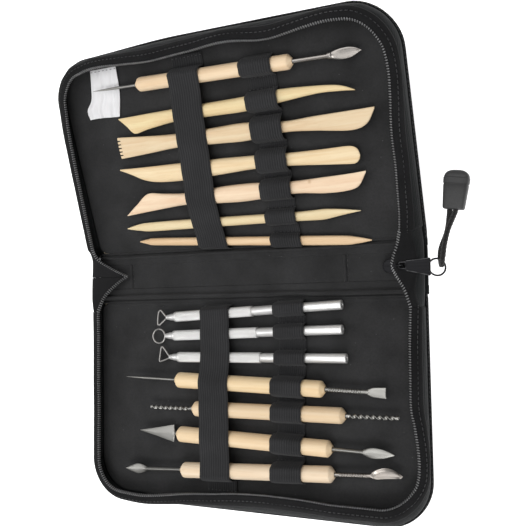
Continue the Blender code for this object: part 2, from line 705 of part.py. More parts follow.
def make_kit():
    base = new_empty("base_frame", (0, BASE_FOLD_Y, FOLD_HEIGHT))
    spine = new_empty("spine_fold", (0, BASE_FOLD_Y, FOLD_HEIGHT))
    cover = new_empty("cover_fold", (0, SPINE_WIDTH, 0), spine, (COVER_ANGLE, 0, 0))
    halves = {"base": base, "cover": cover}
    for half, parent in halves.items():
        make_half(half, parent)
    make_label(cover)
    make_spine(spine)
    make_piping("base_fold_piping", spine, 0)
    make_piping("cover_fold_piping", spine, SPINE_WIDTH)
    make_gusset("left_gusset", spine, -1, 17 * MM)
    make_gusset("right_gusset", spine, 1, 13 * MM)
    make_pull(spine)
    make_wooden_tools(halves)
    make_loop_tools(halves)
    make_handle_tools(halves)
    bpy.context.view_layer.update()


make_kit()
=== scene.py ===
import json
import math

import bmesh
import bpy
import numpy as np
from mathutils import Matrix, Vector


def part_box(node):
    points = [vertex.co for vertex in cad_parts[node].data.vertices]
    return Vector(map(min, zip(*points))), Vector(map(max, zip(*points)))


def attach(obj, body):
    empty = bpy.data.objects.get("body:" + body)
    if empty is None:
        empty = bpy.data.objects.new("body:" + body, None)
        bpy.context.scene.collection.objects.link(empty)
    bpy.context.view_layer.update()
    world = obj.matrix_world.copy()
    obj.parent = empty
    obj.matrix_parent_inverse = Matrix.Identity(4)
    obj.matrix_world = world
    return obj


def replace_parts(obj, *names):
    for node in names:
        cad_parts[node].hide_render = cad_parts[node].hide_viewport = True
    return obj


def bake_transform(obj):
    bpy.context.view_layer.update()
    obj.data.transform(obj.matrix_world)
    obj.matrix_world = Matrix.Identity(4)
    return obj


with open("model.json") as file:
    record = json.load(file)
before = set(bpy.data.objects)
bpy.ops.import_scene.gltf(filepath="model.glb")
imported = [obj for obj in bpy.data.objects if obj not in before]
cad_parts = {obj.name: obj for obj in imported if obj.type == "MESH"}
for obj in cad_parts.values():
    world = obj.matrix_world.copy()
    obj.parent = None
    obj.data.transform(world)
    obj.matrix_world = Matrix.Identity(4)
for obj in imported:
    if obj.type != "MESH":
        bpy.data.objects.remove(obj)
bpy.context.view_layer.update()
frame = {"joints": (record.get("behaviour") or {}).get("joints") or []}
mm = 0.001

# the frame's own places
joints = {joint["name"]: joint for joint in frame["joints"]}
baseFold = np.array(joints["spine_fold"]["pos_m"]) / mm
coverFold = np.array(joints["cover_fold"]["pos_m"]) / mm
coverTilt = -math.radians(joints["cover_fold"]["range_deg"][0])
foldHeight = baseFold[2]
spineWidth = coverFold[1] - baseFold[1]
shellLow, shellHigh = (np.array(corner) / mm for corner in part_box("base_shell"))
halfWidth = shellHigh[0]
halfDepth = baseFold[1] - shellLow[1]
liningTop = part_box("base_lining")[1].z / mm

# all lengths below are in millimetres, laid out per half: x along the fold,
# v away from the fold, h above the half's underside
caseSizes = {
    "cornerRadius": 24,
    "wallInset": 1.8,
    "wallStart": 9,
    "liningInset": 4.5,
    "liningStart": 3.5,
    "shellStart": 1.6,
}

# how far the soft edges stand past the panels; the far side's swell grows from fadeFrom over fadeOver
edgeSwell = {
    "base": {"right": 3.0, "far": 2.8, "fadeFrom": -115, "fadeOver": 60},
    "spine": {"right": 3.5, "far": 0.0, "fadeFrom": -95, "fadeOver": 80},
    "cover": {"right": 3.8, "far": 3.2, "fadeFrom": -95, "fadeOver": 80},
}


# A half's (x, v, h) turned into the row frame: the base runs to -Y, the cover is tilted about its fold.
def worldOf(half, x, v, h):
    x, v, h = np.broadcast_arrays(np.asarray(x, float), np.asarray(v, float), np.asarray(h, float))
    if half == "base":
        y, z = baseFold[1] - v, h
    elif half == "spine":
        y, z = baseFold[1] + v, h
    else:
        up = h - foldHeight
        y = coverFold[1] + v * math.cos(coverTilt) - up * math.sin(coverTilt)
        z = foldHeight + v * math.sin(coverTilt) + up * math.cos(coverTilt)
    return np.stack([x, y, z], -1)


# worldOf for the soft case: its padded edges stand out a little past the panels, by a share that grows
# with the sixth power of the place across.
def caseOf(half, x, v, h):
    proud = edgeSwell[half]
    fade = smoothStep((np.asarray(x, float) - proud["fadeFrom"]) / proud["fadeOver"])
    x = x + proud["right"] * np.clip(np.asarray(x, float) / halfWidth, 0, 1.1) ** 6
    v = v + proud["far"] * fade * np.clip(np.asarray(v, float) / halfDepth, 0, 1.1) ** 6
    return worldOf(half, x, v, h)


def smoothStep(t):
    t = np.clip(t, 0, 1)
    return t * t * (3 - 2 * t)


# Soft unevenness: a sum of four sine waves whose phases come from a fixed seed.
def wavy(a, b, seed):
    phases = np.random.default_rng(seed).uniform(0, 6.28, 8)
    waves = (0.9, 1.7, 2.9, 4.6)
    total = sum(np.sin(w * a + phases[i]) * np.cos(0.8 * w * b + phases[i + 4]) / (1 + i)
                for i, w in enumerate(waves))
    return total / 2


# Points spread evenly by length along a line through the given ones.
def resample(points, count):
    points = np.asarray(points, float)
    steps = np.linalg.norm(np.diff(points, axis=0), axis=1)
    along = np.concatenate([[0], np.cumsum(steps)])
    wanted = np.linspace(0, along[-1], count)
    return np.stack([np.interp(wanted, along, points[:, k]) for k in range(points.shape[1])], -1)


# A Catmull-Rom curve through the points, spread evenly by length.
def smoothLine(points, count):
    points = np.asarray(points, float)
    ends = np.vstack([points[:1], points, points[-1:]])
    t = np.linspace(0, 1, 12, endpoint=False)[:, None]
    rows = []
    for a, b, c, d in zip(ends, ends[1:], ends[2:], ends[3:]):
        rows.append(0.5 * (2 * b + (c - a) * t + (2 * a - 5 * b + 4 * c - d) * t ** 2
                           + (3 * b - a - 3 * c + d) * t ** 3))
    return resample(np.vstack(rows + [points[-1:]]), count)


def unitOf(vectors):
    return vectors / np.linalg.norm(vectors, axis=-1, keepdims=True)


def headings(points):
    return unitOf(np.gradient(points, axis=0))


def lengthOf(points):
    return np.linalg.norm(np.diff(points, axis=0), axis=1).sum()


# The curve |a|^power + |b|^power = 1, as two rows of places round it.
def roundBox(sides, power):
    angle = np.linspace(0, 2 * np.pi, sides, endpoint=False)
    return [np.sign(wave) * np.abs(wave) ** (2 / power) for wave in (np.cos(angle), np.sin(angle))]


# Merges seams and poles and turns every face outwards.
def closeUp(piece):
    work = bmesh.new()
    work.from_mesh(piece.data)
    bmesh.ops.remove_doubles(work, verts=work.verts, dist=2e-6)
    bmesh.ops.recalc_face_normals(work, faces=work.faces)
    work.to_mesh(piece.data)
    work.free()


# A mesh piece from an array of points in mm and its faces, riding on a body.
def newPiece(name, verts, faces, material, body, uvs=None, sharp=None):
    mesh = bpy.data.meshes.new(name)
    mesh.from_pydata((np.asarray(verts, float).reshape(-1, 3) * mm).tolist(), [], faces)
    if uvs is not None:
        layer = mesh.uv_layers.new(name="UVMap")
        layer.data.foreach_set("uv", np.asarray(uvs, np.float32).ravel())
    piece = bpy.data.objects.new(name, mesh)
    bpy.context.scene.collection.objects.link(piece)
    mesh.materials.append(material)
    closeUp(piece)
    mesh.shade_smooth()
    if sharp:
        mesh.set_sharp_from_angle(angle=math.radians(sharp))
    if body:
        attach(piece, body)
    return piece


# Quads over a grid of points, by rows and columns.
def gridFaces(rows, columns, wrapRows=False, wrapColumns=False):
    index = np.arange(rows * columns).reshape(rows, columns)
    if wrapColumns:
        index = np.concatenate([index, index[:, :1]], 1)
    if wrapRows:
        index = np.concatenate([index, index[:1]], 0)
    return np.stack([index[:-1, :-1], index[:-1, 1:], index[1:, 1:], index[1:, :-1]], -1).reshape(-1, 4)


# The UVs of a grid's quads, corner by corner: u across the columns, v along the rows.
def gridCorners(u, v):
    grid = np.stack(np.broadcast_arrays(u[None, :], v[:, None]), -1)
    return np.stack([grid[:-1, :-1], grid[:-1, 1:], grid[1:, 1:], grid[1:, :-1]], 2).reshape(-1, 2)


# A grid of points as a piece. caps closes the two end rings: 'fan' from a middle point, or 'strip'
# between ring points that face each other across a flat section.
def gridPiece(name, points, material, body, wrapRows=False, caps=None, sharp=None):
    rows, columns = points.shape[:2]
    faces = gridFaces(rows, columns, wrapRows, wrapColumns=True).tolist()
    uvs = [gridCorners(np.linspace(0, 1, columns + 1), np.linspace(0, 1, rows + wrapRows))]
    verts = points.reshape(-1, 3)
    if caps == "fan":
        middles = np.stack([points[0].mean(0), points[-1].mean(0)])
        verts = np.vstack([verts, middles])
        for middle, start in ((rows * columns, 0), (rows * columns + 1, (rows - 1) * columns)):
            ring = [start + i for i in range(columns)]
            faces += [[a, b, middle] for a, b in zip(ring, ring[1:] + ring[:1])]
            uvs.append(np.zeros((3 * columns, 2)))
    if caps == "strip":
        for start in (0, (rows - 1) * columns):
            for i in range(columns // 2):
                ring = [start + i, start + i + 1, start + columns - i - 1, start + (columns - i) % columns]
                ring = list(dict.fromkeys(ring))
                faces.append(ring)
                uvs.append(np.zeros((len(ring), 2)))
    return newPiece(name, verts, faces, material, body, np.vstack(uvs), sharp=sharp)


# Along a path: two directions square to it and to each other, turned as little as possible.
def carriedFrames(path):
    ahead = headings(np.asarray(path, float))
    up = np.cross(ahead[0], [0.3, 0.1, 1.0])
    sides = []
    for direction in ahead:
        up = up - direction * (up @ direction)
        up = up / np.linalg.norm(up)
        sides.append(up)
    sides = np.array(sides)
    return sides, np.cross(ahead, sides)


# A round tube: a circle carried along a path, of one radius or of a radius for every point of it.
def tubePiece(name, path, radius, material, body, sides=12):
    across, up = carriedFrames(path)
    angle = np.linspace(0, 2 * np.pi, sides, endpoint=False)
    ring = across[:, None] * np.cos(angle)[None, :, None] + up[:, None] * np.sin(angle)[None, :, None]
    size = np.asarray(radius, float)
    if size.ndim == 1:
        size = size[:, None]
    points = np.asarray(path, float)[:, None] + ring * size[..., None]
    return gridPiece(name, points, material, body, caps="fan")


# One small shape repeated: its points are given in (ahead, across, up) at each centre.
def copiesPiece(name, unit, unitFaces, centres, ahead, across, up, material, body, sharp=None):
    unit = np.asarray(unit, float)
    points = (centres[:, None] + unit[None, :, :1] * ahead[:, None]
              + unit[None, :, 1:2] * across[:, None] + unit[None, :, 2:] * up[:, None])
    count = len(unit)
    faces = [[corner + k * count for corner in face] for k in range(len(centres)) for face in unitFaces]
    return newPiece(name, points, faces, material, body, sharp=sharp)


# node groups and materials

def newGroup(name, inputs, outputs):
    group = bpy.data.node_groups.new(name, "ShaderNodeTree")
    for label, kind, value in inputs:
        socket = group.interface.new_socket(label, in_out="INPUT", socket_type=kind)
        if value is not None:
            socket.default_value = value
    for label, kind in outputs:
        group.interface.new_socket(label, in_out="OUTPUT", socket_type=kind)
    return group, group.nodes.new("NodeGroupInput"), group.nodes.new("NodeGroupOutput")


# A node with its properties set and its inputs given as values or linked from sockets.
def put(tree, kind, settings=None, **values):
    node = tree.nodes.new(kind)
    for key, value in (settings or {}).items():
        setattr(node, key, value)
    for key, value in values.items():
        place = int(key[1:]) if key[0] == "i" and key[1:].isdigit() else key.replace("_", " ")
        if isinstance(value, bpy.types.NodeSocket):
            tree.links.new(value, node.inputs[place])
        else:
            node.inputs[place].default_value = value
    return node


def mathNode(tree, operation, first, second=0.0):
    return put(tree, "ShaderNodeMath", {"operation": operation}, i0=first, i1=second).outputs[0]


def ramp(tree, value, low, high, toLow=0.0, toHigh=1.0):
    node = put(tree, "ShaderNodeMapRange", None, Value=value, From_Min=low, From_Max=high)
    node.inputs["To Min"].default_value = toLow
    node.inputs["To Max"].default_value = toHigh
    return node.outputs[0]


def mixColor(tree, factor, first, second, how="MIX"):
    node = put(tree, "ShaderNodeMix", {"data_type": "RGBA", "blend_type": how})
    for place, value in ((0, factor), (6, first), (7, second)):
        if isinstance(value, bpy.types.NodeSocket):
            tree.links.new(value, node.inputs[place])
        else:
            node.inputs[place].default_value = value
    return node.outputs[2]


def scaled(tree, vector, scale):
    return put(tree, "ShaderNodeVectorMath", {"operation": "MULTIPLY"}, i0=vector, i1=scale).outputs[0]


def times(tree, value, factor):
    return mathNode(tree, "MULTIPLY", value, factor)


def noiseOf(tree, vector, scale, detail, **values):
    noise = put(tree, "ShaderNodeTexNoise", None, Vector=vector, Scale=scale, Detail=detail, **values)
    return noise.outputs[0]


def groupNode(tree, group, place, **values):
    node = put(tree, "ShaderNodeGroup", {"node_tree": group}, Vector=place.outputs["Object"], **values)
    return node.outputs


# A colour as the nodes take it, made paler or darker by a factor.
def tint(color, factor=1.0):
    return (*[c * factor for c in color], 1.0)


# Plain weave: two crossed sets of ridges, the upper one swapped by a checker, with slubs and lint.
def makeWeaveGroup():
    group, source, result = newGroup(
        "plainWeave",
        [("Vector", "NodeSocketVector", None), ("Thread Pitch", "NodeSocketFloat", 0.0005),
         ("Depth", "NodeSocketFloat", 0.5)],
        [("Height", "NodeSocketFloat"), ("Tone", "NodeSocketFloat"), ("Lint", "NodeSocketFloat")])
    turns = mathNode(group, "DIVIDE", 3.14159, source.outputs["Thread Pitch"])
    parts = put(group, "ShaderNodeSeparateXYZ", None, Vector=source.outputs["Vector"])
    flat = mathNode(group, "ADD", parts.outputs[1], parts.outputs[2])
    warp = mathNode(group, "SINE", times(group, parts.outputs[0], turns))
    weft = mathNode(group, "SINE", times(group, flat, turns))
    over = times(group, warp, weft)
    threads = mathNode(group, "ABSOLUTE", over)
    slubs = noiseOf(group, source.outputs["Vector"], 900.0, 3.0)
    broad = noiseOf(group, source.outputs["Vector"], 45.0, 4.0)
    specks = put(group, "ShaderNodeTexVoronoi", None, Vector=source.outputs["Vector"], Scale=170.0)
    height = mathNode(group, "ADD", threads, times(group, slubs, 0.6))
    group.links.new(times(group, height, source.outputs["Depth"]), result.inputs["Height"])
    group.links.new(ramp(group, broad, 0.3, 0.7, 0.74, 1.28), result.inputs["Tone"])
    lint = ramp(group, specks.outputs["Distance"], 0.035, 0.02, 0.0, 1.0)
    group.links.new(lint, result.inputs["Lint"])
    return group


# Fine grain: pale and dark streaks drawn out along X, pores and a few small knots.
def makeGrainGroup():
    group, source, result = newGroup(
        "fineGrain",
        [("Vector", "NodeSocketVector", None), ("Seed", "NodeSocketFloat", 0.0)],
        [("Streaks", "NodeSocketFloat"), ("Pores", "NodeSocketFloat"), ("Knots", "NodeSocketFloat")])
    seeded = put(group, "ShaderNodeVectorMath", {"operation": "ADD"}, i0=source.outputs["Vector"])
    shift = put(group, "ShaderNodeCombineXYZ", None, X=source.outputs["Seed"], Y=source.outputs["Seed"])
    group.links.new(shift.outputs[0], seeded.inputs[1])
    long = scaled(group, seeded.outputs[0], (14.0, 420.0, 420.0))
    streaks = noiseOf(group, long, 1.0, 5.0, Roughness=0.6, Distortion=0.4)
    fine = scaled(group, seeded.outputs[0], (160.0, 3200.0, 3200.0))
    pores = noiseOf(group, fine, 1.0, 2.0)
    knots = put(group, "ShaderNodeTexVoronoi", None, Vector=seeded.outputs[0], Scale=38.0)
    group.links.new(streaks, result.inputs["Streaks"])
    group.links.new(pores, result.inputs["Pores"])
    group.links.new(ramp(group, knots.outputs["Distance"], 0.055, 0.015), result.inputs["Knots"])
    return group


# Where edges stick out, broken up by noise, as a mask for paler edges, a painted highlight on the wood and
# metals; and faint smudges of handling all over.
def makeWearAndHighlightGroup():
    group, source, result = newGroup(
        "handledWearAndEdgeHighlight",
        [("Vector", "NodeSocketVector", None), ("Scale", "NodeSocketFloat", 300.0)],
        [("Edge", "NodeSocketFloat"), ("Smudge", "NodeSocketFloat"), ("Scratch", "NodeSocketFloat")])
    shape = group.nodes.new("ShaderNodeNewGeometry")
    noise = noiseOf(group, source.outputs["Vector"], source.outputs["Scale"], 4.0)
    smudge = noiseOf(group, source.outputs["Vector"], 70.0, 5.0)
    edges = ramp(group, shape.outputs["Pointiness"], 0.52, 0.6)
    broken = times(group, edges, ramp(group, noise, 0.35, 0.6))
    stretched = scaled(group, source.outputs["Vector"], (60.0, 2400.0, 2400.0))
    scratch = noiseOf(group, stretched, 1.0, 3.0)
    group.links.new(broken, result.inputs["Edge"])
    group.links.new(ramp(group, smudge, 0.35, 0.7), result.inputs["Smudge"])
    group.links.new(scratch, result.inputs["Scratch"])
    return group


weaveGroup = makeWeaveGroup()
grainGroup = makeGrainGroup()
wearAndHighlightGroup = makeWearAndHighlightGroup()


def startMaterial(name, roughness, metallic=0.0):
    material = bpy.data.materials.new(name)
    material.use_nodes = True
    tree = material.node_tree
    shader = tree.nodes["Principled BSDF"]
    shader.inputs["Roughness"].default_value = roughness
    shader.inputs["Metallic"].default_value = metallic
    place = tree.nodes.new("ShaderNodeTexCoord")
    return material, tree, shader, place


def addBump(tree, shader, height, strength, distance):
    bump = put(tree, "ShaderNodeBump", None, Height=height, Strength=strength, Distance=distance * mm)
    tree.links.new(bump.outputs[0], shader.inputs["Normal"])


def fabricMaterial(name, color, pitch, depth, sheen=0.25, lint=0.0):
    material, tree, shader, place = startMaterial(name, 0.88)
    weave = groupNode(tree, weaveGroup, place, Thread_Pitch=pitch * mm, Depth=1.0)
    # Thread crowns are painted paler and the dips between them darker: painted highlight and painted shade on
    # the weave.
    threads = mixColor(tree, ramp(tree, weave["Height"], 0.0, 1.3), tint(color, 0.4), tint(color, 1.6))
    toned = mixColor(tree, 1.0, threads, weave["Tone"], "MULTIPLY")
    dusted = mixColor(tree, times(tree, weave["Lint"], lint), toned, (0.25, 0.25, 0.26, 1.0))
    material.diffuse_color = tint(color)
    tree.links.new(dusted, shader.inputs["Base Color"])
    shader.inputs["Sheen Weight"].default_value = sheen
    shader.inputs["Sheen Roughness"].default_value = 0.5
    shader.inputs["Specular IOR Level"].default_value = 0.12
    addBump(tree, shader, weave["Height"], depth, pitch * 0.5)
    return material


# Ribbed webbing on its own UVs: cords run along the band and a fine weft crosses them.
def elasticMaterial(name, color, ribs):
    material, tree, shader, place = startMaterial(name, 0.8)
    parts = put(tree, "ShaderNodeSeparateXYZ", None, Vector=place.outputs["UV"])
    along = times(tree, parts.outputs[1], 2 * math.pi)
    weft = mathNode(tree, "SINE", along)
    cords = mathNode(tree, "COSINE", times(tree, parts.outputs[0], 2 * math.pi * ribs))
    noise = noiseOf(tree, place.outputs["Object"], 1400.0, 3.0)
    broad = noiseOf(tree, place.outputs["Object"], 60.0, 3.0)
    # The cords are painted paler and the grooves between them darker, and the weft's crests paler: painted
    # highlight and painted shade on the ribs.
    shade = ramp(tree, cords, -1.0, 1.0)
    ribbed = mixColor(tree, shade, tint(color, 0.45), tint(color, 1.35))
    knit = mixColor(tree, ramp(tree, weft, -1.0, 1.0, 0.0, 0.35), ribbed, tint(color, 1.9))
    toned = mixColor(tree, 1.0, knit, ramp(tree, broad, 0.3, 0.7, 0.85, 1.15), "MULTIPLY")
    tree.links.new(toned, shader.inputs["Base Color"])
    shader.inputs["Sheen Weight"].default_value = 0.08
    shader.inputs["Specular IOR Level"].default_value = 0.15
    height = mathNode(tree, "ADD", times(tree, weft, 0.5), noise)
    addBump(tree, shader, height, 0.35, 0.15)
    return material


def woodMaterial(name, pale, dark, seed):
    material, tree, shader, place = startMaterial(name, 0.5)
    pale, dark = ([c * 0.88 for c in color] for color in (pale, dark))
    grain = groupNode(tree, grainGroup, place, Seed=seed)
    wearAndHighlight = groupNode(tree, wearAndHighlightGroup, place)
    streaked = mixColor(tree, ramp(tree, grain["Streaks"], 0.35, 0.68), tint(pale), tint(dark))
    pored = mixColor(tree, ramp(tree, grain["Pores"], 0.62, 0.75, 0.0, 0.35), streaked, tint(dark, 0.72))
    knotted = mixColor(tree, times(tree, grain["Knots"], 0.55), pored, (0.42, 0.24, 0.11, 1.0))
    # Edges painted paler: a painted highlight along the wood's borders.
    edgeHighlighted = mixColor(tree, times(tree, wearAndHighlight["Edge"], 0.3), knotted, tint(pale, 1.08))
    handled = mixColor(tree, times(tree, wearAndHighlight["Smudge"], 0.10), edgeHighlighted, (0.62, 0.42, 0.27, 1.0))
    tree.links.new(handled, shader.inputs["Base Color"])
    tree.links.new(ramp(tree, grain["Streaks"], 0.3, 0.7, 0.44, 0.62), shader.inputs["Roughness"])
    shader.inputs["Specular IOR Level"].default_value = 0.35
    height = mathNode(tree, "SUBTRACT", grain["Streaks"], times(tree, grain["Pores"], 0.6))
    addBump(tree, shader, height, 0.25, 0.12)
    return material


def metalMaterial(name, color, roughness, brushed=0.3, stain=None, rim=None, metallic=1.0):
    material, tree, shader, place = startMaterial(name, roughness, metallic)
    wearAndHighlight = groupNode(tree, wearAndHighlightGroup, place, Scale=420.0)
    dull = mixColor(tree, times(tree, wearAndHighlight["Smudge"], 0.25), tint(color), tint(color, 0.72))
    if stain:
        dull = mixColor(tree, times(tree, wearAndHighlight["Smudge"], 0.35), dull, tint(stain))
    # Sharp edges are painted paler, in the rim colour where one is given: a painted edge highlight.
    paleEdges = tint(rim) if rim else tint(color, 1.25)
    highlightedEdges = mixColor(tree, times(tree, wearAndHighlight["Edge"], 0.5), dull, paleEdges)
    tree.links.new(highlightedEdges, shader.inputs["Base Color"])
    rough = ramp(tree, wearAndHighlight["Scratch"], 0.3, 0.7, roughness * 0.75, roughness * 1.35)
    tree.links.new(rough, shader.inputs["Roughness"])
    addBump(tree, shader, wearAndHighlight["Scratch"], brushed, 0.03)
    return material


# Moulded rubber or nylon: fine pebbled skin, dusty tone and paler sharp edges.
def mouldedMaterial(name, color, roughness, speckle, coat=0.0):
    material, tree, shader, place = startMaterial(name, roughness)
    wearAndHighlight = groupNode(tree, wearAndHighlightGroup, place, Scale=500.0)
    pebble = noiseOf(tree, place.outputs["Object"], speckle, 3.0)
    dusty = mixColor(tree, times(tree, wearAndHighlight["Smudge"], 0.35), tint(color), tint(color, 1.5))
    paleEdges = mixColor(tree, times(tree, wearAndHighlight["Edge"], 0.5), dusty, tint(color, 2.4))
    tree.links.new(paleEdges, shader.inputs["Base Color"])
    rough = ramp(tree, pebble, 0.3, 0.7, roughness * 0.85, roughness * 1.15)
    tree.links.new(rough, shader.inputs["Roughness"])
    shader.inputs["Coat Weight"].default_value = coat
    addBump(tree, shader, pebble, 0.3, 0.08)
    return material


# Blank satin label cloth on its own UVs: close weft floats and faint creases.
def satinMaterial(name, color):
    material, tree, shader, place = startMaterial(name, 0.55)
    parts = put(tree, "ShaderNodeSeparateXYZ", None, Vector=place.outputs["UV"])
    weft = mathNode(tree, "SINE", times(tree, parts.outputs[1], 2 * math.pi * 90))
    creases = noiseOf(tree, place.outputs["Object"], 120.0, 4.0)
    toned = mixColor(tree, ramp(tree, creases, 0.3, 0.7, 0.0, 0.5), tint(color), tint(color, 0.84))
    tree.links.new(toned, shader.inputs["Base Color"])
    shader.inputs["Sheen Weight"].default_value = 0.3
    addBump(tree, shader, mathNode(tree, "ADD", weft, creases), 0.2, 0.06)
    return material


shellFabric = fabricMaterial("shellFabric", (0.0085, 0.0095, 0.0100), 0.55, 0.45, sheen=0.07, lint=0.25)
liningFabric = fabricMaterial("liningFabric", (0.021, 0.021, 0.0215), 0.36, 0.35, sheen=0.06, lint=0.45)
tapeFabric = fabricMaterial("tapeFabric", (0.008, 0.008, 0.0085), 0.42, 0.6, sheen=0.03)
bandElastic = elasticMaterial("bandElastic", (0.017, 0.017, 0.018), 13)
threadFibre = fabricMaterial("threadFibre", (0.016, 0.016, 0.017), 0.2, 0.4)
edgeThread = fabricMaterial("edgeThread", (0.017, 0.017, 0.018), 0.2, 0.4)
cordBraid = fabricMaterial("cordBraid", (0.012, 0.011, 0.011), 0.5, 0.9, sheen=0.2)
boardCard = fabricMaterial("boardCard", (0.33, 0.28, 0.21), 0.3, 0.2, sheen=0.0)
zipNylon = mouldedMaterial("zipNylon", (0.13, 0.13, 0.132), 0.3, 2500.0, 0.3)
gripRubber = mouldedMaterial("gripRubber", (0.019, 0.019, 0.0195), 0.62, 1500.0)
# The pull's edges are painted pale by the rim colour: a painted highlight.
pullMetal = metalMaterial("pullMetal", (0.014, 0.014, 0.015), 0.42, rim=(0.30, 0.30, 0.31))
# A paler copy of the pull's metal for the tab's bevels: a painted highlight on the bevel.
bevelHighlightMetal = metalMaterial("bevelHighlightMetal", (0.045, 0.045, 0.046), 0.42, rim=(0.30, 0.30, 0.31))
toolSteel = metalMaterial("toolSteel", (0.27, 0.265, 0.25), 0.36, 0.35)
spoonSteel = metalMaterial("spoonSteel", (0.27, 0.255, 0.24), 0.3, 0.2, stain=(0.26, 0.21, 0.17))
wireSteel = metalMaterial("wireSteel", (0.30, 0.29, 0.28), 0.35)
barAluminium = metalMaterial("barAluminium", (0.69, 0.685, 0.675), 0.38, 0.2, metallic=0.65)
labelSatin = satinMaterial("labelSatin", (0.66, 0.655, 0.665))
print("materials ready")

# soft slabs: a surface given a thickness with rounded long edges


# Directions square to a grid surface, from the cross product of its two gradients.
def surfaceNormals(surface):
    along = np.gradient(surface, axis=0)
    across = np.gradient(surface, axis=1)
    normal = np.cross(along, across)
    return normal / np.maximum(np.linalg.norm(normal, axis=2, keepdims=True), 1e-9)


# Values from 0 to 1 that lie closer together near both ends.
def edgeSpacing(count):
    t = np.linspace(0, 1, count)
    return 0.5 * (t + (1 - np.cos(np.pi * t)) / 2)


# A closed sheet round a grid surface: half the thickness on each side, falling to nothing at the long
# edges as the root of one minus a high power, so that the edges are round.
def slabPiece(name, surface, thickness, material, body, uvScale=(1, 1), edge=6):
    rows, columns = surface.shape[:2]
    lengths = np.linalg.norm(np.diff(surface.mean(0), axis=0), axis=1)
    t = -1 + 2 * np.concatenate([[0], np.cumsum(lengths)]) / lengths.sum()
    rounding = np.maximum(1 - np.abs(t) ** edge, 0) ** 0.5
    half = np.broadcast_to(np.asarray(thickness, float), (rows, columns)) / 2 * rounding[None]
    offset = surfaceNormals(surface) * half[..., None]
    ring = np.concatenate([surface + offset, (surface - offset)[:, ::-1]], 1)
    faces = gridFaces(rows, 2 * columns, wrapColumns=True).tolist()
    u = np.concatenate([(t + 1) / 2, ((t + 1) / 2)[::-1]]) * uvScale[0]
    corners = gridCorners(np.concatenate([u, u[:1]]), np.linspace(0, uvScale[1], rows))
    for start in (0, (rows - 1) * 2 * columns):
        for i in range(columns - 1):
            faces.append([start + i, start + i + 1, start + 2 * columns - 2 - i, start + 2 * columns - 1 - i])
    uvs = np.vstack([corners, np.zeros((8 * (columns - 1), 2))])
    return newPiece(name, ring, faces, material, body, uvs)


stitchUnit = [(-0.9, 0, 0), (-0.55, 0.2, 0.05), (-0.55, -0.2, 0.05), (-0.55, 0, 0.26),
              (0.55, 0.2, 0.05), (0.55, -0.2, 0.05), (0.55, 0, 0.26), (0.9, 0, 0)]
stitchFaces = [(0, 1, 3), (0, 3, 2), (0, 2, 1), (1, 4, 6, 3), (3, 6, 5, 2), (2, 5, 4, 1),
               (4, 7, 6), (6, 7, 5), (5, 7, 4)]


# Stitches laid end to end along a line, each a small pointed bar standing on the cloth.
def stitchRow(name, line, up, pitch, body, size=1.0, thread=None):
    points = resample(line, max(3, int(lengthOf(line) / pitch)))
    ahead = headings(points)
    across = unitOf(np.cross(np.broadcast_to(up, points.shape), ahead))
    unit = np.array(stitchUnit) * size * np.array([pitch / 2.3, 1, 1])
    return copiesPiece(name, unit, stitchFaces, points, ahead, across, np.cross(ahead, across),
                       thread or threadFibre, body)


halfUp = {
    "base": np.array([0, 0, 1.0]),
    "spine": np.array([0, 0, 1.0]),
    "cover": np.array([0, -math.sin(coverTilt), math.cos(coverTilt)]),
}


# A path's own even steps and the direction to its left, in the (x, v) plane.
def lineOf(points):
    ahead = headings(points)
    return np.stack([-ahead[:, 1], ahead[:, 0]], -1)


# The line along a half's right, far and left sides at an inset, with round far corners.
def threeSides(inset, near, count):
    edge = halfWidth - inset
    far = halfDepth - inset
    radius = caseSizes["cornerRadius"] - inset
    turn = np.linspace(0, np.pi / 2, 24)
    right = np.stack([edge - radius + radius * np.cos(turn), far - radius + radius * np.sin(turn)], -1)
    left = np.stack([-edge + radius - radius * np.sin(turn), far - radius + radius * np.cos(turn)], -1)
    return resample(np.vstack([[(edge, near)], right, left, [(-edge, near)]]), count)


# A rectangle with round corners as a closed line, starting in the middle of its near side.
def closedSides(width, near, far, radius, nearRadius):
    corners = []
    for cx, cv, r, start in ((width, near, nearRadius, -90), (width, far, radius, 0),
                             (-width, far, radius, 90), (-width, near, nearRadius, 180)):
        turn = np.radians(np.linspace(start, start + 90, 16))
        inX = cx - math.copysign(r, cx)
        inV = cv + r if cv == near else cv - r
        corners.append(np.stack([inX + r * np.cos(turn), inV + r * np.sin(turn)], -1))
    loop = np.vstack([[(0, near)], *corners, [(0, near)]])
    return resample(loop, caseLook["loopCount"] + 1)[:-1]


# A closed flat pad. rim lists (inset, height) from the underside round the edge to the top; inside it
# rings shrink to the middle, and the top swells and sags by soft waves.
def panelPiece(name, half, loop, rim, material, body, swell=0.0, seed=1):
    middle = (loop.max(0) + loop.min(0)) / 2
    inward = lineOf(np.vstack([loop[-1:], loop, loop[:1]]))[1:-1]
    rings, heights = [], []
    shrink = (0.0, 0.16, 0.32, 0.48, 0.62, 0.76, 0.88, 0.96)
    firstRing = loop + inward * rim[0][0]
    lastRing = loop + inward * rim[-1][0]
    for part in shrink[::-1][:-1]:
        rings.append(middle + (firstRing - middle) * (1 - part))
        heights.append(np.full(len(loop), rim[0][1]))
    for inset, height in rim:
        rings.append(loop + inward * inset)
        heights.append(np.full(len(loop), float(height)))
    for part in shrink[1:]:
        ring = middle + (lastRing - middle) * (1 - part)
        rings.append(ring)
        waves = wavy(ring[:, 0] * 0.03, ring[:, 1] * 0.03, seed)
        heights.append(rim[-1][1] + swell * waves * smoothStep(part * 4))
    flat = np.stack(rings)
    points = caseOf(half, flat[..., 0], flat[..., 1], np.stack(heights))
    return gridPiece(name, points, material, body, caps="fan")


# case: shells, linings, walls, zip tapes and teeth

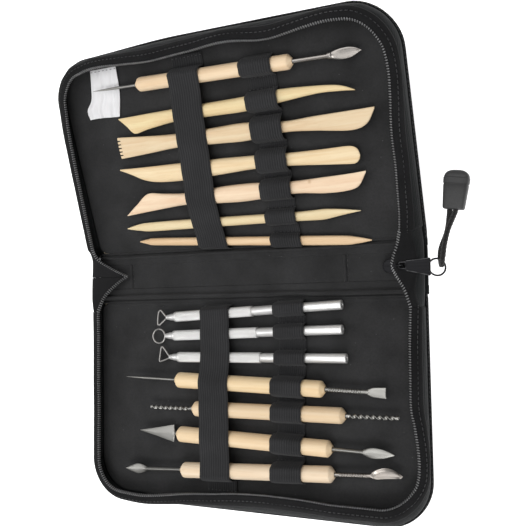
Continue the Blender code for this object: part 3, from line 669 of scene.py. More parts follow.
caseLook = {
    "loopCount": 220,
    "wallSteps": 320,
    "wallTop": 11.9,
    "wallThickness": 1.7,
    "toothPitch": 1.36,
    "tapeThickness": 0.6,
    "shellRim": [(2.2, 0.0), (0.9, 0.02), (0.25, 0.22), (0.0, 0.7), (-0.15, 1.3), (0.0, 1.9), (0.3, 2.25),
                 (0.6, 2.1), (0.75, 1.6), (0.9, 1.4), (2.6, 1.4)],
    "spineRim": [(1.0, 0.0), (0.3, 0.1), (0.0, 0.7), (0.3, 1.3), (1.0, 1.4)],
    "tapeProfile": [(-1.75, 10.7), (-1.6, 11.6), (-1.15, 12.5), (-0.3, 12.75), (0.8, 12.95), (1.9, 13.1),
                    (2.5, 13.05)],
}
# how far the wall leans in along each half: (share of its length, lean in mm)
leans = {
    "base": [(0, 1.0), (0.05, 1.5), (0.12, 2.0), (0.15, 0.7), (0.18, -0.4), (0.21, -0.3), (0.235, 2.4),
             (0.26, 4.4), (0.29, 5.2), (0.36, 5.2), (0.44, 6.5), (0.5, 5.9), (0.585, 3.6), (0.63, 1.8),
             (0.67, 0.6), (0.72, 1.6), (0.77, 2.8), (0.86, 3.0), (1, 2.9)],
    "cover": [(0, 4.3), (0.03, 3.4), (0.09, 2.8), (0.13, 2.6), (0.17, 1.6), (0.205, 1.2), (0.25, 2.7),
              (0.3, 2.0), (0.33, 1.8), (0.4, 4.3), (0.46, 2.4), (0.52, 3.5), (0.575, 4.0), (0.62, 3.0),
              (0.67, 1.8), (0.7, 3.4), (0.74, 5.6), (0.78, 5.4), (0.82, 3.6), (0.87, 2.4), (1, 1.0)],
}


def makeShell(half):
    near = caseSizes["shellStart"]
    if half == "spine":
        loop, rim = closedSides(halfWidth, near, spineWidth - near, 1.2, 1.2), caseLook["spineRim"]
    else:
        loop = closedSides(halfWidth, near, halfDepth, caseSizes["cornerRadius"], 1.2)
        rim = caseLook["shellRim"]
    piece = panelPiece(half + "OuterShell", half, loop, rim, shellFabric, half)
    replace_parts(piece, half + "_shell")
    if half != "spine":
        edge = threeSides(0.35, 3.0, 400)
        line = caseOf(half, edge[:, 0], edge[:, 1], np.full(len(edge), 2.28))
        stitchRow(half + "EdgeStitches", line, halfUp[half], 2.3, half, 0.9, edgeThread)


def makeLining(half):
    inset = caseSizes["liningInset"]
    width = halfWidth - inset
    near = caseSizes["liningStart"]
    low = liningTop - 0.8
    if half == "spine":
        loop = closedSides(width, near, spineWidth - near, 0.9, 0.9)
        rim = [(0.5, low), (0.0, low + 0.3), (0.2, liningTop - 0.1), (0.9, liningTop - 0.05)]
    else:
        loop = closedSides(width, near, halfDepth - inset, caseSizes["cornerRadius"] - inset, 5)
        rim = [(0.5, low), (0.1, low + 0.05), (0.0, low + 0.5), (0.15, liningTop + 0.1),
               (0.6, liningTop + 0.25), (1.2, liningTop + 0.15), (1.7, liningTop - 0.1),
               (2.6, liningTop - 0.05)]
    piece = panelPiece(half + "LiningCloth", half, loop, rim, liningFabric, half, 0.12,
                       seed=len(half))
    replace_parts(piece, half + "_lining")


# The wall's foot line, the way in from it, and how far its head leans in at each step.
def wallLeans(half):
    count = caseLook["wallSteps"]
    foot = threeSides(caseSizes["wallInset"], caseSizes["wallStart"], count)
    share = np.linspace(0, 1, count)
    fine = smoothLine(leans[half], 200)
    lean = np.interp(share, fine[:, 0], fine[:, 1])
    lean = lean + 0.35 * wavy(share * 24, share * 0, 3 + len(half))
    return foot, lineOf(foot), lean, share


# A point on the wall: the foot moved in by the lean times a rising share of the height, less a bulge
# that is greatest halfway up, plus a distance in or out.
def wallPoint(half, foot, inward, lean, height, outOrIn):
    t = np.clip((height - 1.7) / (caseLook["wallTop"] - 1.7), 0, 1.25)
    across = lean * t ** 1.6 - 0.75 * np.sin(np.pi * np.clip(t, 0, 1)) + outOrIn
    place = foot + inward * across[..., None]
    return caseOf(half, place[..., 0], place[..., 1], height)


def makeWall(half):
    foot, inward, lean, share = wallLeans(half)
    t = edgeSpacing(15)
    height = 1.7 + (caseLook["wallTop"] - 1.7) * t[None, :] + 0 * lean[:, None]
    crease = 0.22 * wavy(share * 60, share * 0, 8)[:, None] * np.sin(np.pi * t)[None, :]
    corners = np.exp(-((share - 0.3) / 0.05) ** 2) + np.exp(-((share - 0.7) / 0.05) ** 2)
    crease = crease + 0.16 * (corners * np.sin(share * 260))[:, None] * np.sin(np.pi * t)[None, :] ** 2
    surface = wallPoint(half, foot[:, None], inward[:, None], lean[:, None], height, crease)
    piece = slabPiece(half + "SideWall", surface, caseLook["wallThickness"], shellFabric, half,
                      edge=8)
    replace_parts(piece, half + "_wall")


# The zip tape lies over the wall's head, sewn outside it, and holds the teeth on its inner edge.
def makeTapeAndTeeth(half):
    foot, inward, lean, share = wallLeans(half)
    fine = smoothLine(caseLook["tapeProfile"], 13)
    flutter = 0.12 * wavy(share * 40, share * 0, 5)[:, None]
    surface = wallPoint(half, foot[:, None], inward[:, None], lean[:, None],
                        fine[None, :, 1] + flutter, fine[None, :, 0] + 0 * flutter)
    tape = slabPiece(half + "ZipTape", surface, caseLook["tapeThickness"], tapeFabric, half)
    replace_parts(tape, half + "_zip_tape")
    seam = wallPoint(half, foot, inward, lean, 12.95 + 0 * lean, -0.75 + 0 * lean)
    stitchRow(half + "TapeStitches", seam, halfUp[half], 2.6, half, 0.9)
    line = wallPoint(half, foot, inward, lean, 13.2 + 0 * lean, 2.7 + 0 * lean)
    inner = wallPoint(half, foot, inward, lean, 12.4 + 0 * lean, 3.4 + 0 * lean)
    makeTeeth(half + "ZipTeeth", line, inner - line, half)


# a tooth, given as (along the chain, across the tape, up): a bent bar with a round back
toothRings = [(-0.95, 0.2, 0.24), (-0.8, 0.28, 0.42), (0.0, 0.3, 0.5), (0.75, 0.34, 0.5), (0.98, 0.22, 0.3)]
toothSides = 8


# Rings of an oval bar lying across the tape: each ring gives its place, half length and half height.
def toothShape():
    angle = np.linspace(0, 2 * np.pi, toothSides, endpoint=False)
    rings = [np.stack([along * np.cos(angle), np.full(toothSides, place), up * np.sin(angle)], -1)
             for place, along, up in toothRings]
    faces = gridFaces(len(toothRings), toothSides, wrapColumns=True).tolist()
    last = (len(toothRings) - 1) * toothSides
    faces += [list(range(toothSides)), list(range(last, last + toothSides))]
    return np.concatenate(rings), faces


# Teeth at an even pitch along a line, each turned to the line and to the way in from it.
def makeTeeth(name, line, inner, body):
    both = resample(np.hstack([line, inner]), int(lengthOf(line) / caseLook["toothPitch"]))
    place, across = both[:, :3], both[:, 3:]
    ahead = headings(place)
    across = unitOf(across - ahead * (across * ahead).sum(1, keepdims=True))
    unit, faces = toothShape()
    return copiesPiece(name, unit, faces, place, ahead, across, np.cross(ahead, across),
                       zipNylon, body, sharp=50)


for half in ("base", "spine", "cover"):
    makeShell(half)
    makeLining(half)
    bpy.data.objects[half + "_board"].material_slots[0].material = boardCard
for half in ("base", "cover"):
    makeWall(half)
    makeTapeAndTeeth(half)
print("case panels, walls and zip done")

# folds: the cloth that crosses each fold, with the corded ridge sewn in it

foldLook = {
    "length": 101.0,
    "ridge": 1.9,
    "waver": 0.9,
    "steps": 150,
}
folds = {
    "base": {"y": baseFold[1], "bodies": ("base", "spine"), "seed": 4},
    "cover": {"y": coverFold[1], "bodies": ("spine", "cover"), "seed": 9},
}


# A strip crossing a fold: places across it at each step; the part past the fold follows the raised
# half, so on the cover's side it is tilted about the fold.
def foldRows(name, along, height, length):
    fold = folds[name]
    x = np.linspace(-length, length, foldLook["steps"])
    waver = foldLook["waver"] * wavy(x * 0.035, x * 0, fold["seed"])
    y = fold["y"] + along[None, :] + waver[:, None] * np.exp(-(along / 2.2) ** 2)[None, :]
    z = height[None, :] + 0 * x[:, None]
    x = x + edgeSwell["spine"]["right"] * np.clip(x / halfWidth, 0, 1.1) ** 6
    grid = np.stack([x[:, None] + 0 * y, y, z], -1)
    if name == "cover":
        share = smoothStep((y - fold["y"] + 2.5) / 5.0) * coverTilt
        reach, up = y - fold["y"], z - foldHeight
        grid[..., 1] = fold["y"] + reach * np.cos(share) - up * np.sin(share)
        grid[..., 2] = foldHeight + reach * np.sin(share) + up * np.cos(share)
    return grid


def makeFold(name):
    top = liningTop + 0.28
    toSpine = 1 if name == "base" else -1
    profile = smoothLine([(-3.6, top - 0.1), (-2.8, top - 0.3), (-2.0, top - 1.4), (-1.3, top - 0.5),
                          (-0.5, top + foldLook["ridge"]), (0.5, top + foldLook["ridge"]),
                          (1.4, top + 0.35), (2.6, top), (5.4, top - 0.1)], 44) * np.array([toSpine, 1])
    rows = foldRows(name, profile[:, 0], profile[:, 1], foldLook["length"])
    inner = slabPiece(name + "FoldCloth", rows, 0.45, liningFabric, None, edge=10)
    under = smoothLine([(-2.4, 0.3), (-1.3, 0.22), (0, 0.2), (1.3, 0.22), (2.4, 0.3)], 16)
    outer = slabPiece(name + "FoldOutside", foldRows(name, under[:, 0], under[:, 1] + 0.35, halfWidth), 1.1,
                      shellFabric, None, edge=10)
    for piece, reach in ((inner, 3.0), (outer, 1.8)):
        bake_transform(piece)
    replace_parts(inner, name + "_fold_piping")


for name in folds:
    makeFold(name)

# gussets: each wall's end folds flat on the spine, and the zip comes to a point there

gussetLook = {
    "steps": 36,
    "across": 15,
    "tapeRise": 0.6,
}
# rim: x of the lower edge; crest: (x, height) of the bend at the wall's end, at the fold and in the
# middle; line: (x, v, height) of the teeth between the wall's end and the point, v < 0 past the fold
gussets = {
    "left": {"side": -1, "end": -1, "rim": 105.7, "crest": [(103.9, 10.6), (105.1, 7.6)], "apex": (79.6, 8.0),
             "line": {"base": [(94.6, 0, 11.8), (87.0, -8.0, 9.4)],
                       "cover": [(98.8, 0, 12.2), (89.6, -8.0, 9.4)]}},
    "right": {"side": 1, "end": 0, "rim": 107.4, "crest": [(103.6, 11.4), (105.4, 8.0)], "apex": (91.4, 8.0),
              "line": {"base": [(99.4, 0, 12.3), (95.0, -7.0, 10.6)],
                        "cover": [(96.0, 0, 12.3), (93.6, -7.5, 10.6)]}},
}


# A place on a half, or, where v is below nothing, on the spine; on the fold it is halfway between the
# two.
def pastFold(half, x, v, h):
    onSpine = worldOf("spine", x, -v if half == "base" else spineWidth + v, h)
    if v < 0:
        return onSpine
    return (onSpine + worldOf(half, x, v, h)) / 2 if v == 0 else worldOf(half, x, v, h)


# A Catmull-Rom curve across every row at once: controls has the shape (rows, points, 3).
def sectionCurves(controls, count):
    padded = np.concatenate([2 * controls[:, :1] - controls[:, 1:2], controls,
                             2 * controls[:, -1:] - controls[:, -2:-1]], 1)
    place = np.linspace(0, controls.shape[1] - 1 - 1e-6, count)
    first = place.astype(int)
    t = (place - first)[None, :, None]
    a, b, c, d = (padded[:, first + k] for k in range(4))
    return 0.5 * (2 * b + (c - a) * t + (2 * a - 5 * b + 4 * c - d) * t ** 2
                  + (3 * b - a - 3 * c + d) * t ** 3)


# Four lines from the wall's end to the middle of the spine: rim, flank, crest and teeth, each a smooth
# curve that starts where the wall leaves off.
def gussetLines(gusset, half):
    side, steps = gusset["side"], gussetLook["steps"]
    foot, inward, lean, _ = wallLeans(half)
    foot, inward, lean = foot[gusset["end"]], inward[gusset["end"]], lean[gusset["end"]]
    heights, offsets = np.array([1.75, 7.0, 12.2, 13.2]), np.array([0, 0, -0.5, 2.7])
    starts = wallPoint(half, foot[None], inward[None], np.full(4, lean), heights, offsets)
    middle = -(spineWidth / 2 - 0.15)
    (foldX, foldH), (endX, endH) = gusset["crest"]
    rimX = side * gusset["rim"]
    rim = [starts[0], pastFold(half, rimX, 0, 1.6), pastFold(half, rimX, middle, 1.6)]
    flank = [starts[1], pastFold(half, rimX + side * 0.2, 0, 6.2),
             pastFold(half, rimX + side * 0.3, middle, 4.6)]
    crest = [starts[2], pastFold(half, side * foldX, 0, foldH), pastFold(half, side * endX, middle, endH)]
    teeth = [starts[3]] + [pastFold(half, side * x, v, h) for x, v, h in gusset["line"][half]]
    teeth.append(pastFold(half, side * gusset["apex"][0], middle, gusset["apex"][1]))
    return [smoothLine(line, steps) for line in (rim, flank, crest, teeth)]


# Cloth from the rim over the crest to the tape, the tape laid over its upper part, and the teeth along
# the tape's edge, in two halves that meet in the middle of the spine.
def makeGusset(name):
    gusset = gussets[name]
    for half in ("base", "cover"):
        rim, flank, crest, line = gussetLines(gusset, half)
        inward = unitOf(line - crest)
        up = np.array([0, 0, gussetLook["tapeRise"]])
        root = line - inward * 1.7 - up * 0.9
        sheet = sectionCurves(np.stack([rim, flank, crest, root], 1), gussetLook["across"])
        piece = slabPiece(f"{name}Gusset_{half}", sheet, 0.9, shellFabric, None)
        outer = crest + (flank - crest) * 0.3 - inward * 0.5
        tapeGrid = sectionCurves(np.stack([outer, crest - inward * 0.2 + up, (crest + root) / 2 + up * 1.2,
                                           line - inward * 0.4], 1), 11)
        tape = slabPiece(f"{name}GussetTape_{half}", tapeGrid, 0.55, tapeFabric, None)
        teeth = makeTeeth(f"{name}GussetTeeth_{half}", line + up * 0.3, inward * 0.75 - up * 1.1, None)
        for soft in (piece, tape, teeth):
            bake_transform(soft)
        if half == "base":
            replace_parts(piece, name + "_gusset")


for name in gussets:
    makeGusset(name)


# A narrow tuck sewn across the spine's lining, with a row of stitches beside it.
def makeSpineSeam(name, x):
    v = np.linspace(5.6, spineWidth - 5.6, 26)
    profile = [(-0.9, 0.02), (-0.6, 0.16), (-0.2, 0.34), (0.25, 0.34), (0.6, 0.14), (0.9, 0.02)]
    across, rise = np.array(profile).T
    waver = 0.35 * wavy(v * 0.2, v * 0, 3)
    surface = worldOf("spine", x + waver[:, None] + across[None, :], v[:, None],
                      liningTop + 0.1 + rise[None, :])
    slabPiece(name, surface, 0.25, liningFabric, "spine")
    line = worldOf("spine", x + waver + 1.6, v, np.full(len(v), liningTop + 0.1))
    stitchRow(name + "Stitches", line, halfUp["spine"], 2.2, "spine", 0.8)


makeSpineSeam("leftSpineSeam", -79.0)
makeSpineSeam("rightSpineSeam", 64.0)
print("folds and gussets done")

# the tools' own axes

# each tool's v where it crosses the middle of the case, slope, height of its axis over the lining,
# and the half width and half height that pass under the elastic
tools = {
    "needle_spoon": {"half": "cover", "v": 103.9, "slope": -0.015, "rise": 4.1, "pass": (4.7, 4.1)},
    "slant_knife": {"half": "cover", "v": 84.8, "slope": 0.02, "rise": 3.6, "pass": (5.2, 3.6)},
    "comb_knife": {"half": "cover", "v": 70.0, "slope": 0.0, "rise": 3.6, "pass": (6.7, 3.6)},
    "round_knife": {"half": "cover", "v": 52.5, "slope": 0.0, "rise": 3.6, "pass": (6.2, 3.6)},
    "skew_knife": {"half": "cover", "v": 36.0, "slope": 0.01, "rise": 3.6, "pass": (5.8, 3.6)},
    "thin_blade": {"half": "cover", "v": 20.0, "slope": 0.005, "rise": 2.4, "pass": (4.2, 2.6)},
    "thin_stick": {"half": "cover", "v": 7.5, "slope": -0.049, "rise": 2.4, "pass": (4.0, 2.6)},
    "triangle_loop": {"half": "base", "v": 10.4, "slope": -0.052, "rise": 3.1, "pass": (3.9, 3.1)},
    "ring_loop": {"half": "base", "v": 22.7, "slope": -0.031, "rise": 3.1, "pass": (3.9, 3.1)},
    "slant_loop": {"half": "base", "v": 36.9, "slope": -0.005, "rise": 3.1, "pass": (3.9, 3.1)},
    "needle_chisel": {"half": "base", "v": 52.0, "slope": 0.03, "rise": 4.7, "pass": (5.5, 4.7)},
    "twist": {"half": "base", "v": 67.5, "slope": 0.0, "rise": 4.5, "pass": (5.3, 4.5)},
    "blade_leaf": {"half": "base", "v": 84.2, "slope": 0.03, "rise": 4.7, "pass": (5.5, 4.7)},
    "spear_spoon": {"half": "base", "v": 102.2, "slope": -0.048, "rise": 4.6, "pass": (5.4, 4.6)},
}


# A tool's own (x along, y across, z up) in mm turned into the row frame by its slope and half.
def toolPlace(name, local):
    tool = tools[name]
    side = 1 if tool["half"] == "cover" else -1
    turn = side * math.atan(tool["slope"])
    x, y, z = np.moveaxis(np.asarray(local, float), -1, 0)
    across = side * tool["v"] + x * math.sin(turn) + y * math.cos(turn)
    return worldOf(tool["half"], x * math.cos(turn) - y * math.sin(turn), side * across,
                   liningTop + 0.3 + tool["rise"] + z)


# elastic bands

bandLook = {
    "wide": (-25.8, -6.3),
    "loop": (21.9, 39.8),
    "bow": {"wide": {"base": [(0, 0.2), (60, 0.3), (125, 1.1)],
                     "cover": [(0, 1.3), (20, -0.9), (36, -0.7), (52, 0.4), (70, 1.2), (85, 2.0), (104, 3.8),
                               (125, 4.4)]},
            "loop": {"base": [(0, 0.5), (37, 0.9), (52, -0.3), (104, -1.4), (125, -1.6)],
                     "cover": [(0, 1.0), (20, -0.4), (36, 0.3), (70, 0.9), (104, 0.7), (125, 0.6)]}},
    "thickness": 0.75,
    "foot": liningTop + 0.7,
    "start": 2.9,
    "clearance": 0.8,
    "dip": 0.6,
    "wideRibs": 13,
    "loopRibs": 14,
    "across": 105,
    "pull": 0.55,
}


# The half's tools from the fold outwards, where they cross x: v, height, half width, half height.
def toolsOver(half, x):
    found = []
    for tool in tools.values():
        if tool["half"] == half:
            found.append((tool["v"] + tool["slope"] * x, liningTop + 0.3 + tool["rise"], *tool["pass"]))
    return sorted(found)


# Points (v, h) from the fold to the far side, tight over every tool.
def wideProfile(half, x):
    over = []
    crossed = toolsOver(half, x)
    for v, height, _, halfHeight in crossed:
        top = height + halfHeight + bandLook["clearance"]
        if over:
            over.append(((over[-1][0] + v) / 2, (over[-1][1] + top) / 2 - bandLook["dip"]))
        over.append((v, top))
    ends = []
    for (v, height, halfWide, halfHeight), way in ((crossed[0], -1), (crossed[-1], 1)):
        side = v + way * (halfWide + 0.3)
        ends.append([(v + way * 0.62 * halfWide, height + halfHeight + bandLook["clearance"]),
                     (side, height + 0.8), (side, height - 1.0), (side + way * 0.8, bandLook["foot"])])
    far = (halfDepth - caseSizes["liningInset"] - 3.0, bandLook["foot"])
    return ends[0][::-1] + over + ends[1] + [far]


# Points (v, h) of an elastic sewn down on both sides of each tool.
def loopProfile(half, x):
    profile = []
    for v, height, halfWide, halfHeight in toolsOver(half, x):
        top = height + halfHeight + bandLook["clearance"]
        rise = [(-halfWide - 0.8, bandLook["foot"]), (-halfWide, height - 1.0), (-halfWide, height + 0.8),
                (-0.62 * halfWide, top)]
        profile += [(max(v + a, bandLook["start"]), h) for a, h in rise]
        profile += [(v, top + 0.25)] + [(v - a, h) for a, h in rise[::-1]]
    return profile


# A band's grid: its profile at both edges, drawn smoothly, with straight lines between them.
def crossSpan(profile, half, span, steps):
    edges = [smoothLine(profile(half, x), steps) for x in span]
    share = np.linspace(0, 1, bandLook["across"])
    place = edges[0][:, None] * (1 - share)[None, :, None] + edges[1][:, None] * share[None, :, None]
    x = span[0] + (span[1] - span[0]) * share[None, :] + 0 * place[..., 0]
    return x, place[..., 0], place[..., 1], share


def makeBand(half, kind):
    profile = wideProfile if kind == "wide" else loopProfile
    ribs = bandLook[kind + "Ribs"]
    steps = 320 if kind == "wide" else 380
    x, v, h, share = crossSpan(profile, half, bandLook[kind], steps)
    bow = smoothLine(bandLook["bow"][kind][half], 90)
    raised = np.clip((h - bandLook["foot"]) / 6.0, 0, 1)
    middle = (x - x.mean()) / (np.ptp(x) / 2)
    if kind == "loop":
        x = x + middle * (0.5 * raised - bandLook["pull"] * (1 - raised))
        h = h - 0.35 * raised * np.abs(middle) ** 4
    else:
        x = x + middle * 0.15 * wavy(v * 0.05, v * 0, 12)
        h = h - 0.25 * np.abs(middle) ** 6 * raised
    x = x + np.interp(v, bow[:, 0], bow[:, 1])
    ribbing = 1 + 0.16 * np.cos(2 * np.pi * ribs * share)[None, :]
    weft = 1 + 0.05 * np.cos(np.arange(len(v)) * np.pi)[:, None]
    length = lengthOf(np.stack([v[:, 0], h[:, 0]], -1))
    piece = slabPiece(f"{half}{kind.title()}Elastic", worldOf(half, x, v, h),
                      bandLook["thickness"] * ribbing * weft, bandElastic, half,
                      uvScale=(1, length * 1.6), edge=14)
    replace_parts(piece, f"{half}_{kind}_band")
    feet = []
    for toolV, _, halfWide, _ in toolsOver(half, np.mean(bandLook[kind])):
        feet += [toolV - halfWide - 0.9, toolV + halfWide + 0.9]
    if kind == "wide":
        feet = [feet[0] + 0.1, halfDepth - caseSizes["liningInset"] - 4.6]
    xs = np.linspace(bandLook[kind][0] + 0.8, bandLook[kind][1] - 0.8, 40)
    for number, foot in enumerate(feet):
        line = worldOf(half, xs + np.interp(foot, bow[:, 0], bow[:, 1]), foot, bandLook["foot"] + 0.42)
        stitchRow(f"{half}{kind.title()}Stitches{number}", line, halfUp[half], 2.0, half, 0.8)


for half in ("base", "cover"):
    for kind in ("wide", "loop"):
        makeBand(half, kind)

# blank label

labelLook = {
    "v": (88.5, 117.0),
    "left": [(0, -85.8), (0.2, -86.1), (0.4, -81.6), (0.7, -79.4), (1, -78.0)],
    "right": [(0, -64.0), (0.5, -60.6), (1, -59.4)],
    "thickness": 0.25,
    "ripple": 0.42,
}


# A soft strip of cloth sewn at its far edge: its sides follow the two drawn lines and pleats run away
# from the seam.
def makeLabel():
    s, t = np.meshgrid(np.linspace(0, 1, 70), np.linspace(0, 1, 60), indexing="ij")
    v0, v1 = labelLook["v"]
    left, right = (smoothLine(labelLook[side], 80) for side in ("left", "right"))
    x0, x1 = (np.interp(s, line[:, 0], line[:, 1]) for line in (left, right))
    v = v0 + (v1 - v0) * s + 0.35 * np.sin(4.2 * t + 0.4) * (1 - s)
    x = x0 + (x1 - x0) * t
    pleat = labelLook["ripple"] * (np.sin(21 * t + 1.6 * np.sin(3 * s)) + 0.5 * np.sin(37 * t + 2.0 * s))
    h = liningTop + 0.8 + np.clip(pleat * (1.1 - 0.5 * s), -0.42, 0.8)
    surface = worldOf("cover", x, v, h)
    piece = slabPiece("blankLabel", surface, labelLook["thickness"], labelSatin, "cover",
                      edge=20)
    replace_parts(piece, "care_label")
    edge = worldOf("cover", np.linspace(x0[-1, 0] + 1, x1[-1, 0] - 1, 30), v1 - 1.2, liningTop + 1.3)
    stitchRow("labelStitches", edge, halfUp["cover"], 2.2, "cover", 0.8)


makeLabel()
print("elastics and label done")

# solids for the tools


# Sections across x: each is the curve |y|^p + |z|^p = 1 stretched to the station's low and high edges
# and half thickness, with the stations joined by a smooth curve.
def ovalRings(stations, count, sides, power=2.3):
    line = smoothLine(stations, count)
    squareY, squareZ = roundBox(sides, power)
    x, low, high, thick = (line[:, k, None] for k in range(4))
    middle = (low + high) / 2
    halfWide = np.maximum((high - low) / 2, 0.08)
    y = middle + halfWide * squareY[None]
    z = np.maximum(thick, 0.08) * squareZ[None]
    return np.stack(np.broadcast_arrays(x, y, z), -1), middle, halfWide


def toolPiece(name, tool, node, local, material, sharp=40, caps="fan"):
    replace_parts(gridPiece(name, toolPlace(tool, local), material, tool, caps=caps, sharp=sharp), node)


# A profile of (x, radius) turned about the tool's axis.
def turnedPoints(profile, sides=40):
    profile = np.asarray(profile, float)
    angle = np.linspace(0, 2 * np.pi, sides, endpoint=False)
    ring = np.stack([0 * angle, np.cos(angle), np.sin(angle)], -1)
    return profile[:, None, :1] * np.array([1, 0, 0]) + profile[:, 1, None, None] * ring[None]


# knives cut from one piece of wood: (x, low edge, high edge, half thickness)

knives = {
    "slant_knife": {"pale": (0.76, 0.63, 0.36), "dark": (0.69, 0.51, 0.27), "seed": 1.3, "stations": [
        (-63, 2.9, 3.6, 0.7), (-58.5, -1.9, 3.6, 0.9), (-54, -6.5, 3.6, 1.1), (-44, -5.2, 3.7, 1.8),
        (-24, -3.4, 3.8, 3.2), (0, -3.8, 3.8, 3.6), (20, -4.2, 3.8, 3.5), (41, -2.6, 4.4, 2.6),
        (62, -1.2, 3.0, 1.4), (75, -1.8, 1.2, 0.9), (83, -2.7, -2.2, 0.5)]},
    "comb_knife": {"pale": (0.73, 0.59, 0.39), "dark": (0.66, 0.48, 0.29), "seed": 2.7, "comb": (6, 2.0),
                   "stations": [
        (-67, -6.6, 6.2, 0.8), (-60, -6.2, 5.8, 1.0), (-45, -5.2, 4.8, 1.9), (-26, -4.0, 4.0, 3.2),
        (0, -4.6, 4.6, 3.6), (18, -5.0, 5.0, 3.5), (41, -3.0, 3.0, 2.6), (59, -4.2, 3.6, 1.6),
        (78, -6.2, 4.0, 1.0), (87, -3.8, 4.2, 0.8), (92, 3.4, 4.4, 0.5)]},
    "round_knife": {"pale": (0.82, 0.67, 0.43), "dark": (0.73, 0.54, 0.31), "seed": 4.1, "stations": [
        (-70, 3.9, 4.6, 0.5), (-62, 0.4, 4.5, 0.8), (-54, -3.4, 4.4, 1.2), (-44, -5.4, 4.4, 2.0),
        (-26, -5.9, 4.4, 3.2), (0, -4.6, 4.4, 3.6), (18, -3.6, 4.0, 3.4), (40, -3.8, 3.3, 2.6),
        (60, -5.2, 3.2, 1.6), (70, -5.9, 3.4, 1.2), (76, -6.3, 3.3, 1.0), (78.8, -5.9, 2.5, 0.8),
        (80.4, -4.4, 1.0, 0.6), (81.1, -2.8, -1.2, 0.4)]},
    "skew_knife": {"pale": (0.84, 0.67, 0.48), "dark": (0.77, 0.55, 0.37), "seed": 5.9, "stations": [
        (-72, -7.2, -6.7, 0.5), (-63, -6.4, -0.4, 0.9), (-54, -5.6, 5.2, 1.2), (-42, -4.6, 4.2, 2.2),
        (-28, -3.7, 3.3, 3.1), (-8, -4.6, 4.6, 3.6), (13, -5.0, 5.0, 3.6), (40, -3.4, 3.6, 2.6),
        (58, -4.8, 4.0, 1.6), (70, -4.8, 4.3, 1.1), (78, -2.8, 4.7, 0.8), (83, 4.2, 5.1, 0.5)]},
    "thin_blade": {"pale": (0.76, 0.64, 0.40), "dark": (0.68, 0.53, 0.30), "seed": 7.2, "stations": [
        (-75, -0.2, 0.4, 0.4), (-66, -1.8, 2.3, 0.9), (-57, -2.7, 2.9, 1.5), (-28, -2.8, 2.9, 2.3),
        (20, -3.0, 2.3, 2.3), (40, -3.2, 2.1, 2.0), (50, -3.5, 2.3, 1.7), (57, -3.3, 2.5, 1.4),
        (66, -1.8, 1.7, 1.0), (72, -0.9, 0.9, 0.7), (77, -0.2, 0.1, 0.4)]},
    "thin_stick": {"pale": (0.76, 0.56, 0.35), "dark": (0.64, 0.43, 0.24), "seed": 8.8, "stations": [
        (-68, -0.3, 0.3, 0.3), (-62, -1.6, 1.6, 1.4), (-54, -2.3, 2.3, 2.1), (0, -2.5, 2.5, 2.3),
        (60, -2.7, 2.7, 2.0), (72, -2.0, 2.0, 1.2), (81, -0.3, 0.3, 0.4)]},
}


# Sections whose points are spread evenly across the blade, so that teeth can be cut in its end: near
# the end each point moves along the blade by the depth wherever the comb is notched.
def combRings(stations, comb):
    teeth, depth = comb
    line = smoothLine(stations, 130)
    across = np.linspace(-1, 1, teeth * 14 + 1)
    thick = np.maximum(1 - np.abs(across) ** 3.2, 0) ** (1 / 2.4)
    y = np.concatenate([across, across[::-1][1:-1]])
    z = np.concatenate([thick, -thick[::-1][1:-1]])
    x, low, high, half = (line[:, k, None] for k in range(4))
    phase = (y + 1) / 2 * teeth * 2 * np.pi
    notch = smoothStep((np.cos(phase) - 0.35) / 0.25) * (np.abs(y) < 0.93)
    near = np.clip(1 - (x - stations[0][0]) / 8.0, 0, 1)
    across = (low + high) / 2 + (high - low) / 2 * y[None]
    return np.stack(np.broadcast_arrays(x + depth * notch[None] * near, across, half * z[None]), -1)


def makeKnife(name, knife):
    comb = knife.get("comb")
    rings = combRings(knife["stations"], comb) if comb else ovalRings(knife["stations"], 130, 40, 2.2)[0]
    rings[..., 2] += 0.06 * np.sin(rings[..., 0] * 0.35 + knife["seed"])
    wood = woodMaterial(name + "Wood", knife["pale"], knife["dark"], knife["seed"])
    toolPiece(name + "Body", name, name, rings, wood, sharp=50, caps="strip" if comb else "fan")


for name, knife in knives.items():
    makeKnife(name, knife)

# turned wooden handles

handles = {
    "needle_spoon": {"left": -45.5, "right": 52, "radius": 4.1, "holes": (1.1, 1.5), "seed": 11.0,
                     "pale": (0.81, 0.64, 0.44), "dark": (0.73, 0.53, 0.33)},
    "needle_chisel": {"left": -43.8, "right": 52.6, "radius": 4.7, "holes": (1.1, 1.5), "seed": 12.3,
                      "pale": (0.83, 0.66, 0.42), "dark": (0.75, 0.55, 0.31)},
    "twist": {"left": -32.2, "right": 64, "radius": 4.5, "holes": (1.5, 1.5), "seed": 13.9,
              "pale": (0.77, 0.61, 0.42), "dark": (0.70, 0.52, 0.32)},
    "blade_leaf": {"left": -43, "right": 56, "radius": 4.7, "holes": (1.5, 1.5), "seed": 15.1,
                   "pale": (0.83, 0.66, 0.44), "dark": (0.75, 0.55, 0.33)},
    "spear_spoon": {"left": -40.6, "right": 57, "radius": 4.6, "holes": (1.5, 1.5), "seed": 16.6,
                    "pale": (0.83, 0.69, 0.52), "dark": (0.75, 0.58, 0.40)},
}


